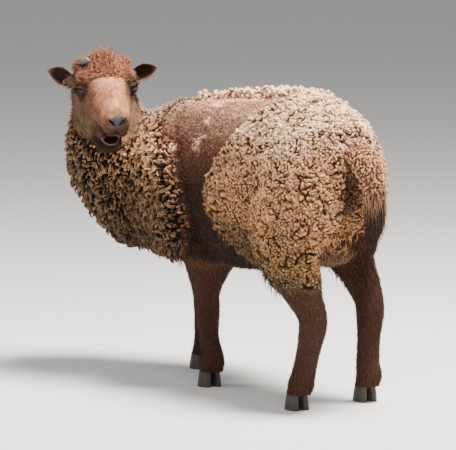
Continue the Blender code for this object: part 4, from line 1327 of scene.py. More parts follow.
skin_material, skin_shader = principled("skin_and_short_hair", roughness=0.75)
tree = skin_material.node_tree
place = object_place(tree)
hairs = noise(tree, place, 620.0, 3.0, Roughness=0.6)[0]
coat_colour = attribute(tree, "coat", "Color")
shade = grey(tree, ranged(tree, hairs, 0.30, 0.70, 0.40, 1.00))
hair_colour = mixed(tree, 1.0, coat_colour, shade, "MULTIPLY")
at_home = vector_maths(tree, "SUBTRACT", place, tuple(HOME))
in_crack = ranged(tree, crack_distance(tree, at_home), 0.0008, 0.0022, 1.0, 0.0)
bend = scaled(tree, noise(tree, place, 160.0, 1.0)[1], FELT_BEND)
bent_place = vector_maths(tree, "ADD", place, bend)
heads = add_node(tree, "ShaderNodeTexVoronoi", None, Vector=bent_place, Scale=1 / HEAD_OF_FELT)
head_height = ranged(tree, heads.outputs["Distance"], 0.15, 0.75, 1.0, 0.0)
matted = attribute(tree, "matted")
# Painted shade low between the felted heads and painted shadow in the cracks.
felt = mixed(tree, ranged(tree, head_height, 0.05, 0.65, 0.0, 1.0), FELT_SHADE, FELT_HIGH)
foot_of_wool = mixed(tree, matted, WOOL_FOOT, felt)
foot_of_wool = mixed(tree, in_crack, foot_of_wool, CRACK_SHADOW)
dark = mixed(tree, 1.0, coat_colour, foot_of_wool, "MULTIPLY")
skin_colour = mixed(tree, attribute(tree, "under_wool"), hair_colour, dark)
wet = attribute(tree, "wet")
hair_bump = bumped(tree, hairs, 0.55, 0.0012)
lump = maths(tree, "MULTIPLY", head_height, matted)
for name, value in (
    ("Base Color", skin_colour),
    ("Roughness", ranged(tree, wet, 0.0, 1.0, 0.78, 0.30)),
    ("Specular IOR Level", ranged(tree, wet, 0.0, 1.0, 0.10, 0.60)),
    ("Normal", bumped(tree, lump, 1.0, 0.0030, Normal=hair_bump)),
):
    tree.links.new(value, skin_shader.inputs[name])
skin_mesh.materials.clear()
skin_mesh.materials.append(skin_material)
print("the skin's material has", len(tree.nodes), "nodes")

# %% [markdown]
# Tufts stand on a lighter copy of the skin. It is unwrapped by its own shape, and each tuft
# later keeps the place of its root on that unwrap, so that a painter's map of the coat would
# put neighbours next to each other.

# %% The mesh that the coat grows from
GROWTH_SHARE = 0.30
growth = make_object("growth", skin_mesh.copy())
while growth.data.uv_layers:
    growth.data.uv_layers.remove(growth.data.uv_layers[0])
for name in ("coat", "under_wool", "matted", "wet"):
    growth.data.attributes.remove(growth.data.attributes[name])
lighter = growth.modifiers.new("lighter", "DECIMATE")
lighter.ratio = GROWTH_SHARE
apply_modifiers(growth)
growth.data.uv_layers.new(name="growth_uv")
bpy.context.view_layer.objects.active = growth
growth.select_set(True)
bpy.ops.object.mode_set(mode="EDIT")
bpy.ops.mesh.select_all(action="SELECT")
bpy.ops.uv.smart_project(angle_limit=math.radians(66), island_margin=0.001)
bpy.ops.object.mode_set(mode="OBJECT")
growth_map = survey(growth.data)
store(growth.data, "coat", markings(growth_map), "FLOAT_COLOR")
store(growth.data, "lie", lie_of(growth_map), "FLOAT_VECTOR")
print("growth mesh:", len(growth.data.polygons), "faces")

# %% [markdown]
# A tuft is a tapered tube along a bent line. It is drawn lying down: x is the way the hair
# lies, z stands out of the skin. Each point of a tuft knows how near the tip it is. Felted
# wool is low knobs that stand up, with short thick worms among them. The ruff is wavy locks.
# Worms and locks are two strands wound round each other, so that they look like wool and not
# like rods. New hair is thin blades, long hair is strands, and the crown is fine curls.

# %% How a tuft is made


def tuft(name, strands, sides):
    """Closed tapered tubes along bent lines, with the place of each point on its strand."""
    points, faces, on_strand = [], [], []
    angles = [i * 2 * math.pi / sides for i in range(sides)]
    for path, widths, heights in strands:
        path = np.array(path)
        tangents = np.gradient(path, axis=0)
        first, count = len(points), len(path) - 1
        for row, (place, tangent) in enumerate(zip(path[:-1], tangents)):
            along = tangent / np.linalg.norm(tangent)
            side = np.cross((0.0, 0.0, 1.0), along) + np.array((0.0, 1e-4, 0.0))
            side = side / np.linalg.norm(side)
            up = np.cross(along, side)
            points += ring(place, side, up, widths[row], heights[row], sides, 2.0).tolist()
            on_strand += [(0.5 + 0.5 * math.cos(angle), row / count, 0) for angle in angles]
        points.append(path[-1].tolist())
        on_strand.append((0.5, 1.0, 0.0))
        faces.append([first + i for i in range(sides)])
        for row in range(count - 1):
            start = first + row * sides
            for i in range(sides):
                j = (i + 1) % sides
                faces.append((start + i, start + sides + i, start + sides + j, start + j))
        last, tip = first + (count - 1) * sides, len(points) - 1
        faces += [(last + i, tip, last + (i + 1) % sides) for i in range(sides)]
    mesh = bpy.data.meshes.new(name)
    mesh.from_pydata(points, [], faces)
    made = bmesh.new()
    made.from_mesh(mesh)
    bmesh.ops.recalc_face_normals(made, faces=made.faces)
    made.to_mesh(mesh)
    made.free()
    mesh.shade_smooth()
    store(mesh, "tip", [place[1] for place in on_strand])
    store(mesh, "local", on_strand, "FLOAT_VECTOR")
    return mesh


def bundled(strand, rng, count, apart, twist):
    """Several thin strands wound round the line of one thick strand; the tips part."""
    path, widths, heights = strand
    steps = len(path) - 1
    strands = []
    for k in range(count):
        start = 2 * math.pi * k / count + rng.uniform(-0.4, 0.4)
        turns = twist * rng.uniform(0.7, 1.3)
        short = rng.uniform(0.86, 1.0)
        line = []
        for i, (x, y, z) in enumerate(path):
            t = i / steps
            angle = start + turns * t
            off = apart * widths[i] + 0.0006 * t * t
            across, above = off * math.cos(angle), 0.8 * off * math.sin(angle)
            line.append((x * short, y + across, z + above))
        thin = 1.25 / math.sqrt(count)
        strands.append((line, [w * thin for w in widths], [h * thin for h in heights]))
    return strands


def tuft_family(name, shapes, sides):
    """A collection with one tuft for each shape, which is a list of strands."""
    family = bpy.data.collections.new(name)
    meshes = [tuft(name, shape, sides) for shape in shapes]
    for index, mesh in enumerate(meshes):
        family.objects.link(bpy.data.objects.new(f"{name}_{index:02d}", mesh))
    print(name, "has", len(meshes), "variants of", triangles_in(meshes[0]), "triangles")
    return family


# %% [markdown]
# Each kind of tuft is one function that draws a line with its widths and heights. It takes its
# sizes in metres and some chance, so that its variants differ. The lines are drawn anew for
# each variant from one seeded row of random numbers.

# %% Shapes of the tufts


def worm(rng, bend, length=0.0090, half_width=0.0016, rise=0.0042):
    """A short thick curl that lies on the wool, bent to one side, with both ends tucked in."""
    path, widths, heights = [], [], []
    heading = rng.uniform(-0.5, 0.5)
    x = y = 0.0
    steps = 5
    for i in range(steps + 1):
        t = i / steps
        z = rise * math.sin(math.pi * (0.08 + 0.80 * t)) - 0.0008
        path.append((x, y, z))
        x += length / steps * math.cos(heading)
        y += length / steps * math.sin(heading)
        heading += bend / steps * rng.uniform(0.6, 1.4)
        swell = math.sin(math.pi * (0.18 + 0.68 * t)) ** 0.6
        widths.append(half_width * swell * rng.uniform(0.88, 1.12))
        heights.append(half_width * 0.9 * swell)
    return path, widths, heights


def knob(rng, half_width=0.0029, height=0.0036):
    """A low rounded head of felted wool, longer than wide and leaning over."""
    longer = rng.uniform(1.0, 2.0)
    lean_x, lean_y = rng.uniform(0.0, 0.0022), rng.uniform(-0.0012, 0.0012)
    path, widths, heights = [], [], []
    for out, up in ((0.92, -0.35), (1.0, 0.25), (0.72, 0.76), (0.0, 1.0)):
        path.append((lean_x * max(up, 0), lean_y * max(up, 0), height * up))
        widths.append(half_width * out * rng.uniform(0.86, 1.14))
        heights.append(half_width * longer * out * rng.uniform(0.86, 1.14))
    return path, widths, heights


def lock(rng, length=0.0185, half_width=0.00165, rise=0.0085):
    """A crimped lock that rises from the wool, lies over and ends in a curl."""
    path, widths, heights = [], [], []
    phase, wave = rng.uniform(0, 6.28), rng.uniform(0.0009, 0.0019)
    hook = rng.uniform(-1.2, 1.2)
    for t in (0.0, 0.20, 0.37, 0.53, 0.69, 0.84, 0.95, 1.0):
        crimp = phase + 8.5 * t
        y = wave * math.sin(crimp) * min(3 * t, 1) + 0.010 * hook * max(t - 0.4, 0) ** 1.5
        z = rise * math.sin(math.pi * min(0.05 + 0.68 * t, 0.90))
        z = z + 0.0010 * math.cos(crimp) - 0.002
        path.append((length * t * (1 - 0.14 * abs(hook) * t), y, z))
        swell = (0.75 + 0.25 * min(4 * t, 1)) * (1 - 0.55 * t**3)
        widths.append(half_width * swell * (1 + 0.12 * math.sin(phase + 13 * t)))
        heights.append(half_width * 0.9 * swell)
    return path, widths, heights


def blade(rng, length=0.010, half_width=0.0011, rise=0.0018):
    """A thin pointed tuft of short hair that hugs the skin."""
    path, widths, heights = [], [], []
    lean = rng.uniform(-0.12, 0.12)
    steps = 2
    for i in range(steps + 1):
        t = i / steps
        z = rise * math.sin(math.pi * (0.06 + 0.62 * t)) - 0.0005
        path.append((length * t, length * lean * t * t, z))
        widths.append(half_width * (1 - 0.55 * t))
        heights.append(half_width * 0.45 * (1 - 0.4 * t))
    return path, widths, heights


def strand(rng, length=0.034, half_width=0.0010, rise=0.004):
    """A long thin wisp of hair with a loose wave."""
    path, widths, heights = [], [], []
    phase, wave = rng.uniform(0, 6.28), rng.uniform(0.0008, 0.0022)
    steps = 5
    for i in range(steps + 1):
        t = i / steps
        z = rise * math.sin(math.pi * (0.05 + 0.55 * t)) - 0.0008
        path.append((length * t, wave * math.sin(phase + 5 * t) * t * 1.5, z))
        widths.append(half_width * (1 - 0.7 * t * t))
        heights.append(half_width * 0.5 * (1 - 0.6 * t))
    return path, widths, heights


def fluff(rng, length=0.0078, half_width=0.00046, rise=0.0032):
    """A fine soft curl, as on the crown."""
    path, widths, heights = [], [], []
    bend = rng.choice((-1, 1)) * rng.uniform(0.8, 2.2)
    heading = rng.uniform(-0.4, 0.4)
    x = y = 0.0
    steps = 4
    for i in range(steps + 1):
        t = i / steps
        path.append((x, y, rise * math.sin(math.pi * (0.06 + 0.66 * t)) - 0.0006))
        x += length / steps * math.cos(heading)
        y += length / steps * math.sin(heading)
        heading += bend / steps
        widths.append(half_width * (1 - 0.6 * t * t))
        heights.append(half_width * 0.8 * (1 - 0.6 * t * t))
    return path, widths, heights


rng = random.Random(7)
BENDS = (-2.6, -1.8, -1.0, 0.8, 1.6, 2.4, 3.2, -3.4)
FUZZ_SIZE = (0.0062, 0.00024, 0.0046)
knobs = tuft_family("knobs", [[knob(rng)] for _ in range(12)], 7)
worms = tuft_family("worms", [bundled(worm(rng, bend), rng, 2, 0.70, 2.4) for bend in BENDS], 4)
locks = tuft_family("locks", [bundled(lock(rng), rng, 2, 0.85, 3.0) for _ in range(12)], 4)
blades = tuft_family("blades", [[blade(rng)] for _ in range(5)], 3)
fuzz = tuft_family("fuzz", [[blade(rng, *FUZZ_SIZE)] for _ in range(5)], 3)
strands = tuft_family("strands", [[strand(rng)] for _ in range(6)], 3)
fluffs = tuft_family("fluffs", [[fluff(rng)] for _ in range(8)], 3)

# %% [markdown]
# One tree of nodes plants every part of the coat. Points are spread over the growth mesh with
# a least distance between them, each gets a tuft turned to the surface and to the lie of the
# hair, and noise turns neighbours together so that the wool parts and swirls. Random sizes
# keep any two tufts from looking the same, and tufts beside a crack are smaller.

# %% The tree that plants tufts
UV_PATCH = 0.003
CRACK_EDGE = 0.70
SOCKETS = {
    "Tufts": "Collection", "Where": "String", "Material": "Material", "Spacing": "Float",
    "Lift": "Float", "Jitter": "Float", "Swirl": "Float", "Swirl Size": "Float",
    "Size": "Vector", "Spread": "Float", "Seed": "Int", "Scale Here": "String",
    "Crack": "Float",
}


def planting_tree():
    tree = bpy.data.node_groups.new("plant_tufts", "GeometryNodeTree")
    face = tree.interface
    face.new_socket("Geometry", in_out="INPUT", socket_type="NodeSocketGeometry")
    for name, kind in SOCKETS.items():
        face.new_socket(name, in_out="INPUT", socket_type="NodeSocket" + kind)
    face.new_socket("Geometry", in_out="OUTPUT", socket_type="NodeSocketGeometry")
    given = tree.nodes.new("NodeGroupInput").outputs
    result = tree.nodes.new("NodeGroupOutput")

    def named(name, kind="FLOAT_VECTOR"):
        """What the attribute of that name holds."""
        node = add_node(tree, "GeometryNodeInputNamedAttribute", {"data_type": kind}, Name=name)
        return node.outputs["Attribute"]

    def drawn(low, high, step):
        """A random number for each point, from a seed that many steps on."""
        seed = maths(tree, "ADD", given["Seed"], float(step))
        node = add_node(
            tree, "FunctionNodeRandomValue", {"data_type": "FLOAT"}, i2=low, i3=high, Seed=seed
        )
        return node.outputs[1]

    def kept(geometry, name, value, kind, domain="POINT"):
        """The geometry with the value kept under a name."""
        node = add_node(
            tree, "GeometryNodeStoreNamedAttribute", {"data_type": kind, "domain": domain},
            Geometry=geometry, Name=name, Value=value,
        )
        return node.outputs[0]

    area = maths(tree, "MULTIPLY", given["Spacing"], given["Spacing"])
    spread = add_node(
        tree, "GeometryNodeDistributePointsOnFaces", {"distribute_method": "POISSON"},
        Mesh=given["Geometry"], Distance_Min=given["Spacing"], Seed=given["Seed"],
        Density_Factor=named(given["Where"], "FLOAT"),
        Density_Max=maths(tree, "DIVIDE", 2.5, area),
    )

    position = tree.nodes.new("GeometryNodeInputPosition").outputs[0]
    crack_width = maths(tree, "MAXIMUM", given["Crack"], 1e-5)
    clear = maths(tree, "DIVIDE", crack_distance(tree, position), crack_width)
    parted = add_node(
        tree, "GeometryNodeDeleteGeometry", {"domain": "POINT"},
        Geometry=spread.outputs["Points"],
        Selection=maths(tree, "LESS_THAN", clear, CRACK_EDGE),
    )
    roots = kept(parted.outputs[0], "root_uv", named("growth_uv"), "FLOAT_VECTOR")
    roots = kept(roots, "shade", drawn(0.0, 1.0, 11), "FLOAT")

    stand = add_node(
        tree, "FunctionNodeAlignRotationToVector", {"axis": "Z"},
        Vector=spread.outputs["Normal"],
    )
    heading = add_node(
        tree, "FunctionNodeAlignRotationToVector", {"axis": "X", "pivot_axis": "Z"},
        Rotation=stand.outputs[0], Vector=named("lie"),
    )
    waves = add_node(
        tree, "ShaderNodeTexNoise", None,
        Scale=maths(tree, "DIVIDE", 1.0, given["Swirl Size"]), Detail=1.0,
    )
    swirl = maths(tree, "MULTIPLY", maths(tree, "SUBTRACT", waves.outputs[0], 0.5), given["Swirl"])
    wobble = maths(tree, "MULTIPLY", drawn(-1.0, 1.0, 12), given["Jitter"])
    roll = maths(tree, "MULTIPLY", drawn(-0.6, 0.6, 13), given["Jitter"])
    lift = maths(tree, "MULTIPLY", drawn(-1.7, -0.3, 14), given["Lift"])
    tilt = add_node(
        tree, "ShaderNodeCombineXYZ", None, X=roll, Y=lift, Z=maths(tree, "ADD", swirl, wobble)
    )
    euler = add_node(tree, "FunctionNodeEulerToRotation", None, i0=tilt.outputs[0])
    turned = add_node(
        tree, "FunctionNodeRotateRotation", {"rotation_space": "LOCAL"},
        Rotation=heading.outputs[0], Rotate_By=euler.outputs[0],
    )

    least = maths(tree, "SUBTRACT", 1.0, given["Spread"])
    most = maths(tree, "ADD", 1.0, given["Spread"])
    here = maths(
        tree, "MULTIPLY", drawn(least, most, 15), named(given["Scale Here"], "FLOAT")
    )
    by_crack = maths(tree, "MINIMUM", maths(tree, "MULTIPLY_ADD", clear, 0.45, 0.55), 1.0)
    here = maths(tree, "MULTIPLY", here, by_crack)
    family = add_node(
        tree, "GeometryNodeCollectionInfo", None,
        Collection=given["Tufts"], Separate_Children=True, Reset_Children=True,
    )
    plant = add_node(
        tree, "GeometryNodeInstanceOnPoints", None, Points=roots,
        Instance=family.outputs[0], Pick_Instance=True, Rotation=turned.outputs[0],
        Scale=scaled(tree, given["Size"], here),
    )
    real = add_node(tree, "GeometryNodeRealizeInstances", None, Geometry=plant.outputs[0])
    inside = vector_maths(tree, "SUBTRACT", named("local"), (0.5, 0.5, 0.0))
    on_map = vector_maths(tree, "ADD", named("root_uv"), scaled(tree, inside, UV_PATCH))
    mapped = kept(real.outputs[0], "OFBake", on_map, "FLOAT2", "CORNER")
    painted = add_node(
        tree, "GeometryNodeSetMaterial", None, Geometry=mapped, Material=given["Material"]
    )
    tree.links.new(painted.outputs[0], result.inputs[0])
    return tree


planting = planting_tree()
socket_of = {
    item.name: item.identifier
    for item in planting.interface.items_tree
    if item.in_out == "INPUT"
}
print("the planting tree has", len(planting.nodes), "nodes")

# %% [markdown]
# Planting one part takes a mask of where it grows and a few numbers: spacing is the least
# distance between roots in metres, size scales the tuft along, across and out, lift raises the
# tips, jitter turns each tuft by chance, swirl turns neighbours together in patches of the
# swirl's size, spread is how much sizes differ, and crack is how wide the cracks part it.

# %% Plant one part of the coat
coat_pieces = []


def grow(name, tufts, where, material, spacing, size, lift, jitter, swirl, seed,
         swirl_size=0.03, spread=0.3, scale_here=1.0, crack=0.0):
    """Plant one part of the coat where the mask allows it, as one plain mesh."""
    store(growth.data, "where", np.clip(where, 0, 1))
    store(growth.data, "scale_here", np.broadcast_to(scale_here, len(growth.data.vertices)))
    step = growth.modifiers.new("plant", "NODES")
    step.node_group = planting
    wanted = {
        "Tufts": tufts, "Where": "where", "Material": material, "Spacing": spacing,
        "Lift": lift, "Jitter": jitter, "Swirl": swirl, "Swirl Size": swirl_size,
        "Size": size if isinstance(size, tuple) else (size, size, size), "Spread": spread,
        "Seed": seed, "Scale Here": "scale_here", "Crack": crack,
    }
    for label, value in wanted.items():
        step[socket_of[label]] = value
    mesh = evaluated_mesh(growth)
    growth.modifiers.clear()
    for used in ("where", "scale_here"):
        growth.data.attributes.remove(growth.data.attributes[used])
    for spare in ("root_uv", "lie", "where", "scale_here", "growth_uv"):
        if spare in mesh.attributes:
            mesh.attributes.remove(mesh.attributes[spare])
    mesh.transform(Matrix.Translation(HOME))
    coat_pieces.append(make_object(name, mesh))
    print(name, "has", triangles_in(mesh), "triangles")


# %% [markdown]
# Every kind of tuft has its own material, made by one recipe: dark at the root, which is painted
# shade at the foot of the coat, the colour of the place towards the tip, lighter or darker from
# tuft to tuft, with fine strands along it.

# %% Materials of the coat
WOOL_ROOT_SHADE = (0.10, 0.06, 0.04)


def coat_material(name, root, tip, strands_wide, sheen=0.12, contrast=0.5, flecks=0.22,
                  fade=(0.05, 0.62)):
    """Root and tip multiply the colour of the place; fade says where one gives way."""
    material, shader = principled(name, roughness=0.85)
    tree = material.node_tree
    colour = attribute(tree, "coat", "Color")
    # The dark root is painted shade at the foot of the coat.
    low = mixed(tree, 1.0, colour, (*root, 1.0), "MULTIPLY")
    high = mixed(tree, 1.0, colour, (*tip, 1.0), "MULTIPLY")
    body = mixed(tree, ranged(tree, attribute(tree, "tip"), *fade, 0.0, 1.0), low, high)
    light = ranged(tree, attribute(tree, "shade"), 0.0, 1.0, 1 - contrast, 1 + contrast)
    place = object_place(tree)
    fleck = noise(tree, place, 300.0, 2.0)[0]
    fleck = ranged(tree, fleck, 0.3, 0.7, 1 - flecks, 1 + flecks)
    light = maths(tree, "MULTIPLY", light, fleck)
    fibres = noise(tree, place, 900.0, 3.0)[0]
    light = maths(tree, "MULTIPLY", light, ranged(tree, fibres, 0.35, 0.65, 0.72, 1.16))
    base = mixed(tree, 1.0, body, grey(tree, light), "MULTIPLY")
    stretch = add_node(
        tree, "ShaderNodeMapping", None,
        Vector=attribute(tree, "local", "Vector"), Scale=(strands_wide, 2.0, 1.0),
    )
    streak = noise(tree, stretch.outputs[0], 1.0, 2.0)[0]
    bump = bumped(tree, maths(tree, "ADD", streak, fibres), 0.9, 0.0017)
    tree.links.new(base, shader.inputs["Base Color"])
    tree.links.new(bump, shader.inputs["Normal"])
    shader.inputs["Sheen Weight"].default_value = sheen
    shader.inputs["Specular IOR Level"].default_value = 0.12
    shader.inputs["Sheen Roughness"].default_value = 0.5
    return material


felt_hair = coat_material(
    "felted_wool", WOOL_ROOT_SHADE, (1.25, 1.20, 1.15), 9.0, contrast=0.22, flecks=0.32,
    fade=(0.20, 0.72),
)
wool_hair = coat_material("old_wool", WOOL_ROOT_SHADE, (1.40, 1.34, 1.27), 9.0, contrast=0.22)
ruff_hair = coat_material(
    "ruff_wool", (0.07, 0.045, 0.03), (1.70, 1.60, 1.50), 9.0, contrast=0.35,
    fade=(0.22, 0.85),
)
new_hair = coat_material(
    "new_hair", (0.42, 0.38, 0.36), (1.60, 1.56, 1.58), 4.0, contrast=0.50, flecks=0.55
)
# Loose hairs are painted paler than the place towards their tips: a painted sheen of the light
# from above.
loose_hair = coat_material(
    "loose_hair", (0.9, 0.85, 0.8), (1.35, 1.35, 1.35), 2.0, contrast=0.2
)
knot_hair = coat_material(
    "topknot_hair", (0.30, 0.22, 0.18), (1.25, 1.2, 1.15), 4.0, contrast=0.40
)
face_hair = coat_material(
    "face_hair", (0.66, 0.60, 0.57), (1.22, 1.20, 1.18), 4.0, sheen=0.05, contrast=0.32,
    flecks=0.35,
)

# %% [markdown]
# The old fleece on rump and thigh is felted into small rounded heads, half a centimetre
# across, with loose curls among them that are thickest along the front edge and the back.
# A few tufts of it are left over on the saddle.

# %% Fleece of the rump
g = growth_map
gx, gy, gz = g["body"].T
near_side = gy < 0.0
rump_wool = g["rump"]
edge_near = 1 - smooth_step(past_edge(gx, gz, FLEECE_EDGE_LEFT), 0.02, 0.08)
bigger = (1 + 0.16 * ripple(g["body"], 0.022, 6)) * (1 - 0.12 * g["felted"])
bigger = bigger * np.clip(wool_depth(g["body"]) / 0.012, 0.75, 1.0) * (1 + 0.20 * edge_near)
curly = 0.30 + edge_near + 0.6 * smooth_step(gz, 0.43, 0.47) - g["felted"]
curly = rump_wool * np.clip(curly, 0, 1)
for label, part, spacing, size, seed in (
    ("near", near_side, 0.0039, 0.95, 21),
    ("far", ~near_side, 0.0052, 1.15, 22),
):
    grow("rump_felt_" + label, knobs, rump_wool * part, felt_hair, spacing, size, lift=0.12,
         jitter=1.2, swirl=5.0, spread=0.26, seed=seed, scale_here=bigger, crack=0.0031)
for label, part, spacing, size, seed in (
    ("near", near_side, 0.0062, 1.0, 23),
    ("far", ~near_side, 0.0080, 1.1, 24),
):
    grow("rump_curls_" + label, worms, curly * part, wool_hair, spacing, size, lift=0.30,
         jitter=1.2, swirl=5.0, seed=seed, scale_here=bigger, crack=0.0024)
grow("leftover_tufts", knobs, g["leftover"], felt_hair, spacing=0.0036, size=(0.9, 0.9, 1.3),
     lift=0.15, jitter=1.2, swirl=5.0, seed=25)

# %% [markdown]
# On neck and chest the old fleece hangs in curled ropes. They are shorter by the head, and
# their tips point out of the coat behind the shoulder, where it has come loose. The other
# locks of the near side are an upper and a lower piece. Stray curls lie on the saddle.

# %% Fleece of the neck and shoulders
ruff_wool = g["ruff"] * (1 - g["swirl"])
by_head = blob(g["head"], (-0.03, 0.0, -0.03), (0.11, 0.09, 0.10), 0.3)
shorter = np.clip(wool_depth(g["body"]) / 0.034, 0.62, 1.0) * (1 - 0.45 * by_head)
shorter = shorter * (1 - 0.35 * smooth_step(gz, 0.445, 0.47))
past_ruff = past_edge(gx, gz, RUFF_EDGE)
rear = smooth_step(past_ruff, -0.095, -0.040) * (gz < 0.42)
near_ruff = ruff_wool * near_side * (1 - rear)
for label, part in (("upper", gz > 0.350), ("lower", gz <= 0.350)):
    grow("ruff_locks_near_" + label, locks, near_ruff * part, ruff_hair, spacing=0.0046,
         size=1.0, lift=0.45, jitter=0.9, swirl=4.0, spread=0.35, seed=31, scale_here=shorter)
grow("ruff_tips_near", locks, ruff_wool * near_side * rear, ruff_hair, spacing=0.0042,
     size=(0.85, 1.2, 1.2), lift=0.85, jitter=1.1, swirl=5.0, spread=0.32, seed=32,
     scale_here=shorter)
grow("ruff_locks_far", locks, ruff_wool * ~near_side, ruff_hair, spacing=0.0073, size=1.5,
     lift=0.45, jitter=0.9, swirl=4.0, spread=0.35, seed=33, scale_here=shorter)
stray = g["saddle"] * (1 - smooth_step(past_ruff, 0.01, 0.06)) * (gz > 0.36)
grow("stray_curls", worms, stray, ruff_hair, spacing=0.0085, size=0.75, lift=0.45,
     jitter=1.2, swirl=4.0, spread=0.35, seed=34)

# %% [markdown]
# Along the lower edge of the wool, under belly and chest, thin dark wisps hang down. Finer and
# paler ones lie on the far thigh. Soft hairs and a short fuzz stand out of the whole fleece and
# catch the light from above, and their tips are painted paler as a sheen of that light.

# %% Wisps and loose hairs
under = smooth_step(-g["normal"][:, 2], 0.10, 0.55) * (gz < 0.30)
under = under * np.maximum(g["ruff"], g["rump"])
hem = smooth_step(0.262 - gz, 0.0, 0.02) * g["ruff"]
grow("hanging_wisps", strands, np.clip(under + 0.6 * hem, 0, 1), wool_hair, spacing=0.0060,
     size=(0.50, 1.2, 1.0), lift=0.45, jitter=0.5, swirl=1.5, spread=0.35, seed=71)
fleece = np.clip(g["rump"] + g["ruff"], 0, 1)
back = g["saddle"] * smooth_step(g["normal"][:, 2], 0.35, 0.8)
fringe = np.clip(fleece + back, 0, 1) * (gz > 0.30)
grow("loose_hairs", strands, fringe, loose_hair, spacing=0.012, size=(0.26, 0.30, 1.2),
     lift=0.9, jitter=1.2, swirl=3.0, spread=0.4, seed=72)
for label, part, spacing, size, seed in (
    ("near", near_side, 0.0044, 1.0, 73),
    ("far", ~near_side, 0.0064, 1.3, 74),
):
    grow("fuzz_" + label, fuzz, fleece * part, loose_hair, spacing, size, lift=0.8,
         jitter=1.5, swirl=6.0, swirl_size=0.02, spread=0.4, seed=seed)
breeches = blob(g["body"], (0.345, 0.118, 0.285), (0.032, 0.030, 0.055), 0.4)
grow("breeches_wisps", strands, breeches, loose_hair, spacing=0.0036, size=(0.50, 0.8, 1.0),
     lift=0.35, jitter=0.6, swirl=2.0, spread=0.35, seed=75)

# %% [markdown]
# The new coat is short and lies flat, so its tufts are thin blades. Fine curls among those of
# the near side break up its even lie.

# %% New coat of saddle and legs
saddle_fur = smooth_step(1 - g["ruff"] - g["rump"], 0.2, 0.5) * (1 - g["on_head"])
saddle_fur = saddle_fur * (1 - g["legs"]) * (1 - g["tail"])
grow("saddle_hair_near", blades, saddle_fur * near_side, new_hair, spacing=0.0026,
     size=(0.72, 0.9, 0.9), lift=0.28, jitter=0.7, swirl=2.5, seed=41)
grow("saddle_curls_near", fluffs, saddle_fur * near_side, new_hair, spacing=0.0036,
     size=(0.75, 1.1, 1.1), lift=0.35, jitter=1.2, swirl=5.0, swirl_size=0.02, seed=44)
grow("saddle_hair_far", blades, saddle_fur * ~near_side, new_hair, spacing=0.0028,
     size=(0.85, 1.0, 1.0), lift=0.28, jitter=0.6, swirl=2.0, seed=42)
grow("leg_hair", blades, g["legs"] * (gz > 0.03), new_hair, spacing=0.0026,
     size=(0.62, 0.75, 0.7), lift=0.12, jitter=0.30, swirl=1.0, seed=43)

# %% [markdown]
# The smallest blades are on face and ears, and none stand on nose, lips or lids. The crown is
# a thick cap of fine curls, longest where it hides the left scur, with some upright hairs.

# %% Hair of the head
LID_REACH = (0.0152,) * 3
hx, hy, hz = g["head"].T
wet_parts = np.clip(g["mouth"] + g["lip"], 0, 1)
by_eye = np.maximum(
    *(blob(g["head"], mirrored(EYE_PLACE, side), LID_REACH, 0.1) for side in (1, -1))
)
bare_face = np.clip(wet_parts + g["nose"] + by_eye, 0, 1)
grow("face_hair", blades, g["face"] * (1 - bare_face), face_hair, spacing=0.00175,
     size=(0.54, 0.42, 0.42), lift=0.10, jitter=0.35, swirl=0.8, swirl_size=0.02,
     spread=0.25, seed=51, scale_here=1 - 0.35 * smooth_step(hx, 0.06, 0.11))
grow("ear_hair", blades, g["ears"] * (1 - 0.9 * g["cups"]), face_hair, spacing=0.0021,
     size=(0.42, 0.5, 0.4), lift=0.08, jitter=0.3, swirl=0.4, swirl_size=0.02, spread=0.25,
     seed=52)
by_scur = mirrored(SCUR_ROOT, 1) + Vector((0.01, 0, 0))
hides = 1 + 0.6 * blob(g["head"], by_scur, (0.020,) * 3, 0.3)
grow("topknot", fluffs, g["topknot"], knot_hair, spacing=0.00128, size=1.05, lift=0.30,
     jitter=0.8, swirl=5.0, swirl_size=0.014, spread=0.35, seed=53, scale_here=hides)
crown_top = g["topknot"] * smooth_step(hz, 0.034, 0.044)
grow("crown_hairs", strands, crown_top, loose_hair, spacing=0.0034, size=(0.52, 0.13, 1.7),
     lift=0.95, jitter=1.2, swirl=3.0, spread=0.4, seed=54)

# %% [markdown]
# The tail has wool at its root and long straight hair below, which gets shorter to the tip.

# %% Tail
tail_top = g["tail"] * smooth_step(gz, 0.355, 0.375)
tail_low = g["tail"] * (1 - smooth_step(gz, 0.365, 0.380))
towards_tip = np.interp(gz, (0.25, 0.30, 0.36), (0.40, 0.70, 1.0))
grow("tail_wool", worms, tail_top, wool_hair, spacing=0.0036, size=(1.1, 0.7, 0.8), lift=0.2,
     jitter=0.6, swirl=2.0, spread=0.25, seed=61)
grow("tail_hair", strands, tail_low, new_hair, spacing=0.0028, size=(0.62, 0.65, 0.7),
     lift=0.10, jitter=0.18, swirl=0.6, spread=0.25, seed=62, scale_here=towards_tip)

# %% [markdown]
# An eye is a ball that knows which way each of its points looks, so that iris and pupil are
# drawn on it by maths. A sheep's pupil is a bar that lies level.

# %% Eyes
EYE_PARTS = (("eye_left", 1), ("eye_right", -1))
PUPIL_HALF_SIZE = (0.62, 0.25)
PUPIL_LIFT = 0.08
PUPIL_BLACK = (0.004, 0.004, 0.005, 1.0)
AMBER_DARK, AMBER_LIGHT = (0.13, 0.065, 0.022, 1.0), (0.30, 0.18, 0.075, 1.0)
IRIS_RIM = (0.05, 0.03, 0.02, 1.0)


def eye_mesh(side):
    made = bmesh.new()
    bmesh.ops.create_uvsphere(made, u_segments=48, v_segments=32, radius=EYE_RADIUS - 0.0002)
    mesh = bpy.data.meshes.new("eye")
    made.to_mesh(mesh)
    made.free()
    points = points_of(mesh)
    store(mesh, "look", points / EYE_RADIUS, "FLOAT_VECTOR")
    mesh.transform(Matrix.Translation(HOME) @ head_matrix() @ eye_frame(side))
    mesh.shade_smooth()
    return mesh


